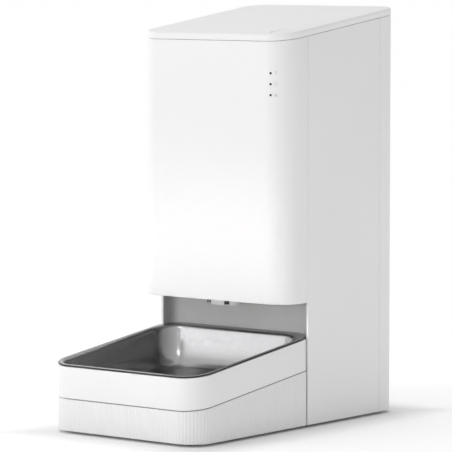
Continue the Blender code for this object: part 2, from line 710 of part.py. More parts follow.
def status_lights():
    for name, z in zip(("light_top", "light_middle", "light_bottom"), LIGHT_Z):
        rod(name, light_point(z, 0.1 * MM), light_point(z, 4 * MM), 0.8 * MM, BLACK, steps=12)
    board = box("light_board", (-6 * MM, 0, -18 * MM), (6 * MM, 1.4 * MM, 18 * MM), BOARD)
    board.data.transform(Matrix.Rotation(LIGHT_ANGLE, 4, "Z"))
    board.location = light_point(LIGHT_Z[1], 4.4 * MM)


def main_board():
    y = RECESS_Y + 6 * MM
    box("main_board", (-45 * MM, y, 28 * MM), (45 * MM, y + 1.6 * MM, 98 * MM), BOARD)


def battery_bay():
    y0, y1 = CELL_Y - CELL_R - 3 * MM, REAR_Y - WALL - GAP
    half = 1.5 * CELL_PITCH + 3 * MM
    z0, z1 = CELL_Z - 3 * MM, CELL_Z + CELL_LENGTH + 3 * MM
    bay = box("battery_bay", (-half, y0, z0), (half, y1, z1), BLACK)
    wall = 2 * MM
    hollow = box("bay_hollow", (wall - half, y0 + wall, z0 + wall), (half - wall, y1 + 9 * MM, z1 - wall),
                 collection=CUTTERS)
    cut(bay, hollow)
    for number in range(3):
        x = (number - 1) * CELL_PITCH
        rod(f"battery_{number + 1}", (x, CELL_Y, CELL_Z), (x, CELL_Y, CELL_Z + CELL_LENGTH), CELL_R, CELL)
    box("battery_door", (GAP - DOOR_HALF, REAR_Y - WALL, DOOR_Z[0] + GAP),
        (DOOR_HALF - GAP, REAR_Y, DOOR_Z[1] - GAP))


def dc_socket():
    """A blind round socket whose mouth is level with the rear cover."""
    profile = [(0, -14), (3.2, -14), (3.2, -0.4), (3.6, 0), (5, 0), (5, -17), (0, -17)]
    turned("dc_socket", [(r * MM, h * MM) for r, h in profile], (SOCKET_X, REAR_Y - 0.2 * MM, SOCKET_Z), BLACK,
           turn=(math.radians(-90), 0, 0))


def build():
    front_shell()
    shell_floor()
    side_panel("side_panel_left", -1)
    side_panel("side_panel_right", 1)
    rear_cover()
    recess_wall()
    base_plate()
    base_screws()
    feet()
    tray_base()
    tray_ring()
    bowl()
    lid_cover()
    hinge_brackets()
    lid_liner()
    lid_latch()
    lid_gasket()
    lid_button()
    desiccant_holder()
    hopper()
    rotor_housing()
    dosing_baffle()
    rotor()
    agitator()
    rotor_shaft()
    drive_frame(*gears())
    chute()
    outlet_nozzle()
    status_lights()
    main_board()
    battery_bay()
    dc_socket()
    for item in PARTS.objects:
        smooth(item)


build()
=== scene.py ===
"""Automatic pet feeder: a white tower with a hopper over an inclined steel bowl.

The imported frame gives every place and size. Each sub-assembly is a class that models its
visible pieces around the frame's nodes, dresses them and hangs them on the frame's bodies.
"""

import logging
import math
from collections.abc import Callable, Iterator, Sequence
from contextlib import contextmanager
from dataclasses import dataclass
from enum import Enum

import bmesh
import bpy
from mathutils import Matrix, Vector


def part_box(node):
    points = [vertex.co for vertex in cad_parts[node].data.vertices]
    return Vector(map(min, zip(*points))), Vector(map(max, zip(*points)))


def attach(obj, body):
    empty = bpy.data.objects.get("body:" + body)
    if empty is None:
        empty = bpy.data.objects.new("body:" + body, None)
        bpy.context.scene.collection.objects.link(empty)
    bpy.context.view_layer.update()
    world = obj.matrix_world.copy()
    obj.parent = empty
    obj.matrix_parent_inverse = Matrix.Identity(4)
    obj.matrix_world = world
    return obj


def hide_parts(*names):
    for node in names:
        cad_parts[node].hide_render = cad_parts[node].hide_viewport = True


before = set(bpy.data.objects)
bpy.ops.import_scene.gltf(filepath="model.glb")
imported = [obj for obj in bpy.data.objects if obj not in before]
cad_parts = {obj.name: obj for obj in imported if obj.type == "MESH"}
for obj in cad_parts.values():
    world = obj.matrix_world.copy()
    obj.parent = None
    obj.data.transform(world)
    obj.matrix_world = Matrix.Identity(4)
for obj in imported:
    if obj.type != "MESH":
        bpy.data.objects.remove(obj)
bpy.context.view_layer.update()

LOG = logging.getLogger("pet_feeder")
MM = 0.001
MERGE = 0.001 * MM
TILT = math.radians(7.5)
Point = tuple[float, float]
Outline = list[Point]


# ---------------------------------------------------------------- outlines and planes

def arc(cx: float, cy: float, radius: float, start: float, end: float, steps: int) -> Outline:
    """Points of an arc in plan.

    Args:
        cx, cy: the arc's centre.
        radius: the arc's radius.
        start, end: its first and last angle, in degrees.
        steps: the number of chords.

    Returns:
        The points from start to end, both included.
    """
    angles = [math.radians(start + (end - start) * i / steps) for i in range(steps + 1)]
    return [(cx + radius * math.cos(a), cy + radius * math.sin(a)) for a in angles]


def rounded(half: float, y0: float, y1: float, front: float, rear: float, steps: int = 16) -> Outline:
    """A rectangle across X = 0 with round corners.

    Args:
        half: half its width.
        y0, y1: its front and rear.
        front, rear: the corner radii.
        steps: chords in each corner.

    Returns:
        The outline, counter-clockwise from the right rear corner.
    """
    return (arc(half - rear, y1 - rear, rear, 0, 90, steps)
            + arc(rear - half, y1 - rear, rear, 90, 180, steps)
            + arc(front - half, y0 + front, front, 180, 270, steps)
            + arc(half - front, y0 + front, front, 270, 360, steps))


def oval(a: float, b: float, y: float, steps: int = 48) -> Outline:
    """An ellipse across X = 0.

    Args:
        a, b: its half width and half depth.
        y: its centre.
        steps: the number of points.

    Returns:
        The outline, counter-clockwise.
    """
    turns = [2 * math.pi * i / steps for i in range(steps)]
    return [(a * math.cos(t), y + b * math.sin(t)) for t in turns]


def along(path: Outline, spacing: float) -> Iterator[tuple[Vector, Vector]]:
    """Walks a path in even steps.

    Args:
        path: the path's points.
        spacing: the wanted step.

    Yields:
        Each place and the unit direction to the right of the path there.
    """
    points = [Vector(p) for p in path]
    lengths = [(b - a).length for a, b in zip(points, points[1:])]
    total = sum(lengths)
    count = max(2, round(total / spacing))
    index, passed = 0, 0.0
    for step in range(count + 1):
        distance = total * step / count
        while index < len(lengths) - 1 and passed + lengths[index] < distance:
            passed += lengths[index]
            index += 1
        direction = (points[index + 1] - points[index]).normalized()
        yield points[index] + direction * (distance - passed), Vector((direction.y, -direction.x))


def fluted(path: Outline, pitch: float, depth: float) -> Outline:
    """Cuts fine round flutes into the right-hand side of a path.

    Args:
        path: the path along the crests.
        pitch: from one crest to the next.
        depth: how deep the flutes are.

    Returns:
        The fluted path, four points to each flute.
    """
    points: Outline = []
    for number, (place, outward) in enumerate(along(path, pitch / 4)):
        sink = depth * (1 - math.cos(number * math.pi / 2)) / 2
        point = place - outward * sink
        points.append((point.x, point.y))
    return points


@dataclass(frozen=True)
class Slope:
    """A plane that is level from side to side and rises towards the rear.

    Attributes:
        y, z: a depth and the plane's height there.
    """

    y: float
    z: float

    @property
    def normal(self) -> Vector:
        """The plane's upward unit normal."""
        return Vector((0, -math.sin(TILT), math.cos(TILT)))

    def height(self, y: float) -> float:
        """The plane's height at depth y."""
        return self.z + math.tan(TILT) * (y - self.y)

    def raised(self, rise: float) -> "Slope":
        """The parallel plane that is higher by rise."""
        return Slope(self.y, self.z + rise)

    def point(self, x: float, y: float, out: float = 0) -> Vector:
        """The point at distance out along the normal from the plane's point at (x, y)."""
        return Vector((x, y, self.height(y))) + self.normal * out

    def holds(self, point: Vector) -> bool:
        """Whether a point lies in the plane."""
        return abs(point.z - self.height(point.y)) < 0.02 * MM


# ---------------------------------------------------------------- the bench

def clear_selection() -> None:
    """Deselects every object."""
    bpy.ops.object.select_all(action="DESELECT")


class Join(Enum):
    """The ways one workpiece is combined with another."""

    CUT = "DIFFERENCE"
    WELD = "UNION"


class Workpiece:
    """One mesh on the bench, shaped with edit-mode operators and applied modifiers."""

    def __init__(self, item: bpy.types.Object) -> None:
        """Takes an object onto the bench."""
        self.item = item

    # -- starts

    @classmethod
    def _fresh(cls, name: str) -> "Workpiece":
        """Names the primitive that was just added."""
        item = bpy.context.object
        item.name = name
        item.data.name = name
        return cls(item)

    @classmethod
    def block(cls, name: str, low: Sequence[float], high: Sequence[float]) -> "Workpiece":
        """A box between two corners.

        Args:
            name: the piece's name.
            low, high: its lowest and highest corner.

        Returns:
            The workpiece.
        """
        clear_selection()
        low, high = Vector(low), Vector(high)
        bpy.ops.mesh.primitive_cube_add(size=1, location=(low + high) / 2)
        piece = cls._fresh(name)
        piece.item.scale = high - low
        return piece.settle()

    @classmethod
    def plan(cls, name: str, outline: Outline, z: float = 0, filled: bool = True) -> "Workpiece":
        """A flat outline at one height, as a face or as a bare loop of edges.

        Args:
            name: the piece's name.
            outline: its points.
            z: its height.
            filled: whether it has a face.

        Returns:
            The workpiece.
        """
        clear_selection()
        fill = "NGON" if filled else "NOTHING"
        bpy.ops.mesh.primitive_circle_add(vertices=len(outline), radius=1, fill_type=fill)
        piece = cls._fresh(name)
        for vertex, (x, y) in zip(piece.item.data.vertices, outline):
            vertex.co = (x, y, z)
        return piece

    @classmethod
    def prism(cls, name: str, outline: Outline, bottom: float, top: float) -> "Workpiece":
        """A solid plan extruded upright from bottom to top."""
        piece = cls.plan(name, outline, bottom)
        piece.extrude((0, 0, top - bottom))
        return piece.close()

    @classmethod
    def rod(cls, name: str, start: Sequence[float], end: Sequence[float], radius: float,
            sides: int = 48) -> "Workpiece":
        """A round bar between two points.

        Args:
            name: the piece's name.
            start, end: the middles of its ends.
            radius: its radius.
            sides: its number of sides.

        Returns:
            The workpiece.
        """
        clear_selection()
        start, end = Vector(start), Vector(end)
        bpy.ops.mesh.primitive_cylinder_add(vertices=sides, radius=radius, depth=(end - start).length)
        piece = cls._fresh(name)
        piece.item.rotation_euler = (end - start).to_track_quat("Z", "Y").to_euler()
        piece.item.location = (start + end) / 2
        return piece.settle()

    @classmethod
    def turned(cls, name: str, profile: Outline, base: Sequence[float], axis: Sequence[float] = (0, 0, 1),
               sides: int = 48) -> "Workpiece":
        """A closed profile of radius and height spun round an axis.

        Args:
            name: the piece's name.
            profile: (radius, height) pairs, right round the section.
            base: where height 0 of the axis is.
            axis: the direction in which height grows.
            sides: the number of steps round.

        Returns:
            The workpiece.
        """
        piece = cls.plan(name, [(r, 0) for r, _ in profile], 0, filled=False)
        for vertex, (r, height) in zip(piece.item.data.vertices, profile):
            vertex.co = (r, 0, height)
        with piece.edit("EDGE"):
            bpy.ops.mesh.select_all(action="SELECT")
            bpy.ops.mesh.spin(steps=sides, angle=2 * math.pi, center=(0, 0, 0), axis=(0, 0, 1))
        piece.close()
        piece.item.rotation_euler = Vector(axis).to_track_quat("Z", "Y").to_euler()
        piece.item.location = Vector(base)
        return piece.settle()

    @classmethod
    def lofted(cls, name: str, loops: Sequence[Sequence[Vector]], capped: bool = False) -> "Workpiece":
        """A skin bridged through loops that have equal numbers of points.

        Args:
            name: the piece's name.
            loops: the loops, in order.
            capped: whether the last loop is filled.

        Returns:
            The open workpiece.
        """
        rings = []
        for number, loop in enumerate(loops):
            ring = cls.plan(f"{name}_{number}", [(p[0], p[1]) for p in loop], 0, filled=False)
            for vertex, point in zip(ring.item.data.vertices, loop):
                vertex.co = point
            rings.append(ring)
        places = [{vertex.co.copy().freeze() for vertex in ring.item.data.vertices} for ring in rings]
        piece = rings[0]
        for ring in rings:
            ring.item.select_set(True)
        bpy.context.view_layer.objects.active = piece.item
        bpy.ops.object.join()
        piece.item.name = name
        with piece.edit("EDGE"):
            for pair in zip(places, places[1:]):
                piece.pick_edges(lambda a, b: any({a.copy().freeze(), b.copy().freeze()} <= loop
                                                  for loop in pair))
                bpy.ops.mesh.bridge_edge_loops()
            if capped:
                piece.pick_edges(lambda a, b: {a.copy().freeze(), b.copy().freeze()} <= places[-1])
                bpy.ops.mesh.edge_face_add()
            bpy.ops.mesh.select_all(action="SELECT")
            bpy.ops.mesh.normals_make_consistent(inside=False)
        return piece

    # -- edit mode

    @contextmanager
    def edit(self, kind: str) -> Iterator[None]:
        """Opens the piece in edit mode, to pick one kind of element, with nothing selected."""
        clear_selection()
        self.item.select_set(True)
        bpy.context.view_layer.objects.active = self.item
        bpy.ops.object.mode_set(mode="EDIT")
        bpy.ops.mesh.select_mode(type=kind)
        bpy.ops.mesh.select_all(action="DESELECT")
        try:
            yield
        finally:
            bpy.ops.object.mode_set(mode="OBJECT")

    def pick_edges(self, test: Callable[[Vector, Vector], bool]) -> None:
        """Selects the edges whose two ends pass a test. Only inside edit()."""
        mesh = bmesh.from_edit_mesh(self.item.data)
        for edge in mesh.edges:
            edge.select_set(test(edge.verts[0].co, edge.verts[1].co))
        mesh.select_flush_mode()
        bmesh.update_edit_mesh(self.item.data)

    def extrude(self, move: Sequence[float]) -> "Workpiece":
        """Extrudes the whole piece by a vector."""
        with self.edit("EDGE"):
            bpy.ops.mesh.select_all(action="SELECT")
            bpy.ops.mesh.extrude_region_move(TRANSFORM_OT_translate={"value": tuple(move)})
        return self

    def slice(self, point: Sequence[float], normal: Sequence[float]) -> "Workpiece":
        """Cuts away what lies on the normal's side of a plane, and closes the cut.

        Args:
            point, normal: the plane.

        Returns:
            The workpiece.
        """
        with self.edit("EDGE"):
            bpy.ops.mesh.select_all(action="SELECT")
            bpy.ops.mesh.bisect(plane_co=tuple(point), plane_no=tuple(normal), use_fill=True,
                                clear_outer=True, threshold=MERGE)
        return self

    def between(self, low: Slope | None, high: Slope | None) -> "Workpiece":
        """Keeps what lies between two inclined planes."""
        if high:
            self.slice(high.point(0, high.y), high.normal)
        if low:
            self.slice(low.point(0, low.y), -low.normal)
        return self

    def round_edges(self, test: Callable[[Vector, Vector], bool], width: float,
                    segments: int) -> "Workpiece":
        """Bevels the edges whose two ends pass a test."""
        with self.edit("EDGE"):
            self.pick_edges(test)
            bpy.ops.mesh.bevel(offset=width, segments=segments, affect="EDGES", profile=0.5,
                               clamp_overlap=True)
        return self

    def close(self) -> "Workpiece":
        """Welds doubles, drops stray edges and turns every face outwards."""
        with self.edit("VERT"):
            bpy.ops.mesh.select_all(action="SELECT")
            bpy.ops.mesh.remove_doubles(threshold=MERGE)
            bpy.ops.mesh.delete_loose()
            bpy.ops.mesh.select_all(action="SELECT")
            bpy.ops.mesh.normals_make_consistent(inside=False)
        return self

    # -- object mode

    def _active(self) -> None:
        """Makes this the one selected object."""
        clear_selection()
        self.item.select_set(True)
        bpy.context.view_layer.objects.active = self.item

    def settle(self) -> "Workpiece":
        """Moves the object's place, turn and scale into its mesh."""
        self._active()
        bpy.ops.object.transform_apply(location=True, rotation=True, scale=True)
        return self

    def turn(self, angle: float, axis: str, about: Sequence[float]) -> "Workpiece":
        """Turns the mesh about a point, right-handed."""
        about = Vector(about)
        spin = Matrix.Translation(about) @ Matrix.Rotation(angle, 4, axis) @ Matrix.Translation(-about)
        self.item.matrix_world = spin
        return self.settle()

    def _modifier(self, kind: str, **settings: object) -> "Workpiece":
        """Adds a modifier and applies it."""
        self._active()
        step = self.item.modifiers.new(kind.lower(), kind)
        for name, value in settings.items():
            setattr(step, name, value)
        bpy.ops.object.modifier_apply(modifier=step.name)
        return self

    def thicken(self, wall: float, inward: bool = True) -> "Workpiece":
        """Gives an open skin its wall."""
        return self._modifier("SOLIDIFY", thickness=wall, offset=-1 if inward else 1)

    def soften(self, width: float, segments: int = 3, angle: float = 35) -> "Workpiece":
        """Rounds every edge sharper than an angle in degrees."""
        return self._modifier("BEVEL", width=width, segments=segments, limit_method="ANGLE",
                              angle_limit=math.radians(angle), use_clamp_overlap=True)

    def combine(self, other: "Workpiece", how: Join) -> "Workpiece":
        """Welds on another workpiece, or cuts it out, and uses it up."""
        self._modifier("BOOLEAN", object=other.item, operation=how.value, solver="EXACT")
        bpy.data.objects.remove(other.item)
        return self

    def cut(self, *tools: "Workpiece") -> "Workpiece":
        """Cuts other workpieces out of this one."""
        for tool in tools:
            self.combine(tool, Join.CUT)
        return self

    def weld(self, *others: "Workpiece") -> "Workpiece":
        """Welds other workpieces onto this one."""
        for other in others:
            self.combine(other, Join.WELD)
        return self

    def smooth(self, angle: float = 30) -> "Workpiece":
        """Shades the piece smooth up to an angle in degrees."""
        self._active()
        bpy.ops.object.shade_smooth_by_angle(angle=math.radians(angle))
        return self

    def dress(self, finish: "Finish", body: str, *nodes: str) -> bpy.types.Object:
        """Gives the piece its finish and hangs it on the frame.

        Args:
            finish: what it is made of.
            body: the frame's body that it rides on.
            nodes: the frame's nodes that it stands for.

        Returns:
            The finished object.
        """
        self.item.data.materials.clear()
        self.item.data.materials.append(finish.material())
        for polygon in self.item.data.polygons:
            polygon.material_index = 0
        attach(self.item, body)
        if nodes:
            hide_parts(*nodes)
        LOG.info("%s: %d faces on %s", self.item.name, len(self.item.data.polygons), body)
        return self.item


# ---------------------------------------------------------------- finishes

class NodeBench:
    """Lays out one material's nodes."""

    def __init__(self, name: str) -> None:
        """Starts a material with a bare Principled shader."""
        self.material = bpy.data.materials.new(name)
        self.material.use_nodes = True
        self.tree = self.material.node_tree
        self.shader = self.tree.nodes["Principled BSDF"]
        self.place = self.node("ShaderNodeTexCoord").outputs["Object"]

    def node(self, kind: str, **settings: object) -> bpy.types.Node:
        """Adds a node and sets its properties."""
        result = self.tree.nodes.new(kind)
        for name, value in settings.items():
            setattr(result, name, value)
        return result

    def link(self, source: bpy.types.NodeSocket, target: bpy.types.NodeSocket) -> None:
        """Joins two sockets."""
        self.tree.links.new(source, target)

    def noise(self, scale: float, detail: float = 2, stretch: Sequence[float] = (1, 1, 1),
              roughness: float = 0.5) -> bpy.types.NodeSocket:
        """Noise on the piece's own coordinates.

        Args:
            scale: features per metre.
            detail: octaves.
            stretch: factors along X, Y and Z.
            roughness: how strong the fine octaves are.

        Returns:
            The socket with values from 0 to 1.
        """
        mapping = self.node("ShaderNodeMapping")
        mapping.inputs["Scale"].default_value = stretch
        self.link(self.place, mapping.inputs["Vector"])
        noise = self.node("ShaderNodeTexNoise")
        noise.inputs["Scale"].default_value = scale
        noise.inputs["Detail"].default_value = detail
        noise.inputs["Roughness"].default_value = roughness
        self.link(mapping.outputs["Vector"], noise.inputs["Vector"])
        return noise.outputs["Fac"]

    def spread(self, source: bpy.types.NodeSocket, low: float, high: float) -> bpy.types.NodeSocket:
        """Maps noise from its usual band onto low to high."""
        node = self.node("ShaderNodeMapRange")
        node.inputs["From Min"].default_value = 0.3
        node.inputs["From Max"].default_value = 0.7
        node.inputs["To Min"].default_value = low
        node.inputs["To Max"].default_value = high
        self.link(source, node.inputs["Value"])
        return node.outputs["Result"]

    def tint(self, source: bpy.types.NodeSocket, dark: Sequence[float], light: Sequence[float]) -> None:
        """Colours the shader between two shades."""
        ramp = self.node("ShaderNodeValToRGB")
        ramp.color_ramp.elements[0].position = 0.3
        ramp.color_ramp.elements[0].color = (*dark, 1)
        ramp.color_ramp.elements[1].position = 0.7
        ramp.color_ramp.elements[1].color = (*light, 1)
        self.link(source, ramp.inputs["Fac"])
        self.link(ramp.outputs["Color"], self.shader.inputs["Base Color"])

    def emboss(self, source: bpy.types.NodeSocket, strength: float, distance: float) -> None:
        """Adds relief, over any relief that is there already."""
        bump = self.node("ShaderNodeBump")
        bump.inputs["Strength"].default_value = strength
        bump.inputs["Distance"].default_value = distance
        self.link(source, bump.inputs["Height"])
        normal = self.shader.inputs["Normal"]
        if normal.is_linked:
            self.link(normal.links[0].from_socket, bump.inputs["Normal"])
        self.link(bump.outputs["Normal"], normal)


@dataclass(frozen=True)
class Finish:
    """What a piece is made of.

    Attributes:
        name: the material's name.
        slot: the record's material slot; not used.
        colour: its base colour.
        roughness: its mean roughness.
        grain: fine relief, in features per metre.
        relief: the relief's height in metres.
        shade: how far the colour wanders.
        metallic: 1 for metal.
    """

    name: str
    slot: str
    colour: tuple[float, float, float]
    roughness: float
    grain: float = 2200
    relief: float = 0.000012
    shade: float = 0.012
    metallic: float = 0

    def material(self) -> bpy.types.Material:
        """The finish's material, made on first use."""
        known = bpy.data.materials.get(self.name)
        return known or self.build(NodeBench(self.name))

    def build(self, bench: NodeBench) -> bpy.types.Material:
        """Lays out the nodes that every finish shares.

        Args:
            bench: the material's bench.

        Returns:
            The material.
        """
        bench.shader.inputs["Metallic"].default_value = self.metallic
        drift = bench.noise(9, 3)
        dark = [c * (1 - self.shade) for c in self.colour]
        light = [min(1.0, c * (1 + self.shade)) for c in self.colour]
        bench.tint(drift, dark, light)
        mottle = bench.noise(260, 3)
        bench.link(bench.spread(mottle, self.roughness - 0.02, self.roughness + 0.02),
                   bench.shader.inputs["Roughness"])
        bench.emboss(bench.noise(self.grain, 2), 0.5, self.relief)
        self.detail(bench)
        return bench.material

    def detail(self, bench: NodeBench) -> None:
        """Adds what only this kind of finish has."""


@dataclass(frozen=True)
class MouldedPlastic(Finish):
    """Satin ABS with a fine spark-eroded texture."""

    gloss: float = 0.5

    def detail(self, bench: NodeBench) -> None:
        """Adds the broad, faint unevenness of a moulding."""
        bench.shader.inputs["Specular IOR Level"].default_value = self.gloss
        bench.emboss(bench.noise(45, 2), 0.25, 0.00003)


@dataclass(frozen=True)
class DrawnSteel(Finish):
    """Pressed stainless sheet with a faint satin brushing along X."""

    def detail(self, bench: NodeBench) -> None:
        """Adds brushed lines."""
        bench.emboss(bench.noise(900, 3, (0.03, 1, 1), 0.7), 0.1, 0.000001)


@dataclass(frozen=True)
class MatRubber(Finish):
    """Dull rubber or silicone with a dusty bloom."""

    bloom: float = 0.2

    def detail(self, bench: NodeBench) -> None:
        """Adds the soft bloom."""
        bench.shader.inputs["Sheen Weight"].default_value = self.bloom
        bench.shader.inputs["Sheen Roughness"].default_value = 0.5


@dataclass(frozen=True)
class TintedBin(Finish):
    """Smoky translucent plastic, as a food bin has."""

    def detail(self, bench: NodeBench) -> None:
        """Lets some light through."""
        bench.shader.inputs["Transmission Weight"].default_value = 0.35
        bench.shader.inputs["IOR"].default_value = 1.49


@dataclass(frozen=True)
class PrintedBoard(Finish):
    """Solder-masked board with faint tracks."""

    def detail(self, bench: NodeBench) -> None:
        """Adds tracks under the mask."""
        brick = bench.node("ShaderNodeTexBrick")
        brick.inputs["Scale"].default_value = 120
        bench.link(bench.place, brick.inputs["Vector"])
        bench.emboss(brick.outputs["Fac"], 0.3, 0.00004)


SHELL_WHITE = MouldedPlastic("shell_white", "white_plastic", (0.86, 0.86, 0.86), 0.42)
LID_WHITE = MouldedPlastic("lid_white", "white_plastic", (0.86, 0.86, 0.86), 0.36, grain=2600)
INNER_WHITE = MouldedPlastic("inner_white", "white_plastic", (0.8, 0.8, 0.79), 0.5, gloss=0.35)
FLUTED_WHITE = MouldedPlastic("fluted_white", "ribbed_plastic", (0.85, 0.85, 0.85), 0.5)
# Painted shade: the recess wall gets the white ribbed plastic darkened to grey, standing in for the shade
# under the overhang.
RECESS_PAINTED_SHADE_GREY = MouldedPlastic("recess_painted_shade_grey", "ribbed_plastic", (0.52, 0.52, 0.52), 0.55)
BOWL_STEEL = DrawnSteel("bowl_steel", "stainless_steel", (0.34, 0.34, 0.345), 0.21, 1800, 0.0000004,
                        0.02, 1)
# Painted shade: the bowl's stainless steel darkened to near black for the bead, so the rim shows as a dark
# line.
RIM_PAINTED_SHADE_STEEL = DrawnSteel("rim_painted_shade_steel", "stainless_steel", (0.07, 0.07, 0.073), 0.5, 1800, 0.000002, 0.02, 1)
SCREW_STEEL = DrawnSteel("screw_steel", "stainless_steel", (0.5, 0.5, 0.51), 0.35, 1400, 0.000006, 0.04, 1)
FOOT_RUBBER = MatRubber("foot_rubber", "dark_rubber", (0.035, 0.035, 0.037), 0.82, 1500, 0.00003, 0.2)
SOFT_SILICONE = MatRubber("soft_silicone", "grey_silicone", (0.5, 0.51, 0.52), 0.6, 1500, 0.00002, 0.04)
SMOKED_BIN = TintedBin("smoked_bin", "smoke_bin", (0.62, 0.64, 0.67), 0.22, 1800, 0.000006, 0.02)
GEAR_RESIN = MouldedPlastic("gear_resin", "gear_plastic", (0.75, 0.74, 0.68), 0.42)
LENS_BLACK = MouldedPlastic("lens_black", "black_plastic", (0.018, 0.018, 0.02), 0.25, relief=0.000003)
BOARD_GREEN = PrintedBoard("board_green", "circuit_board", (0.03, 0.2, 0.08), 0.45, 1800, 0.00001, 0.15)
CELL_SLEEVE = MouldedPlastic("cell_sleeve", "battery_sleeve", (0.09, 0.095, 0.11), 0.3, shade=0.05)
PRINT_GREY = MouldedPlastic("print_grey", "white_plastic", (0.66, 0.66, 0.67), 0.55)


# ---------------------------------------------------------------- driving sizes

HALF = 84 * MM
FRONT_Y = -25.25 * MM
PANEL_Y = FRONT_Y + 33.3 * MM
REAR_SEAM_Y = FRONT_Y + 141.6 * MM
REAR_Y = FRONT_Y + 169.5 * MM
RECESS_Y = FRONT_Y + 45.5 * MM
SKIRT_Z = 2.5 * MM
SHELL_Z = 111.6 * MM
FRONT_RADIUS = 23 * MM
REAR_RADIUS = 18 * MM
MOUTH_RADIUS = 38 * MM
WALL = 2.4 * MM
GAP = 0.3 * MM
TRAY_Y = FRONT_Y - 124.4 * MM
TRAY_REAR_Y = FRONT_Y + 31.3 * MM
ROTOR_Y = FRONT_Y + 82 * MM
DRUM_Z = 150 * MM
DRUM_TOP_Z = 179.7 * MM
DRUM_R = 52 * MM
OUTLET_Y = ROTOR_Y - 31 * MM
SHAFT_R = 4 * MM
NOZZLE_Y = FRONT_Y + 21.5 * MM
NOZZLE_A = 14.5 * MM
NOZZLE_B = 9.5 * MM
LID_SEAM = Slope(FRONT_Y, 342.5 * MM)
LID_TOP = LID_SEAM.raised(6.3 * MM)
TRAY_SEAM = Slope(TRAY_Y, 30.4 * MM)
BOWL_RIM = Slope(TRAY_Y, 60 * MM)
LENS_BEARING = math.radians(14.6)
STOCK_LOW = 300 * MM
STOCK_TOP = 390 * MM
TRAY_STOCK_TOP = 120 * MM
SCREW_SPOTS = [(x * MM, FRONT_Y + y * MM) for x in (-74, 74) for y in (-60, 75)]


def tower_plan(inset: float, steps: int = 20) -> Outline:
    """The tower's outline, drawn in by inset.

    Args:
        inset: how far it is drawn in.
        steps: chords in each corner.

    Returns:
        The outline.
    """
    front, rear = FRONT_RADIUS - inset, REAR_RADIUS - inset
    return rounded(HALF - inset, FRONT_Y + inset, REAR_Y - inset, front, rear, steps)


def mouth_plan(inset: float) -> Outline:
    """The outline of the hopper's mouth, drawn in by inset from the tower's sides."""
    front, rear = MOUTH_RADIUS - inset, REAR_RADIUS - inset
    return rounded(HALF - inset, FRONT_Y + inset, REAR_Y - inset, front, rear)


def horseshoe(front_y: float, rear_y: float, inset: float, steps: int = 24) -> Outline:
    """A path down the left side, round the two front corners and up the right side."""
    half, r, y = HALF - inset, FRONT_RADIUS - inset, front_y + FRONT_RADIUS
    return ([(-half, rear_y)] + arc(-half + r, y, r, 180, 270, steps)
            + arc(half - r, y, r, 270, 360, steps) + [(half, rear_y)])


# ---------------------------------------------------------------- sub-assemblies

class Assembly:
    """A group of pieces that is modelled and dressed together."""

    def build(self) -> None:
        """Models and dresses every piece of the group."""
        raise NotImplementedError

    @staticmethod
    def keep(finish: Finish, *nodes: str) -> None:
        """Dresses nodes of the frame that keep their own shape.

        Args:
            finish: what they are made of.
            nodes: their names.
        """
        for name in nodes:
            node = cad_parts[name]
            for slot in node.material_slots:
                slot.material = finish.material()
            LOG.info("%s: kept from the frame", name)


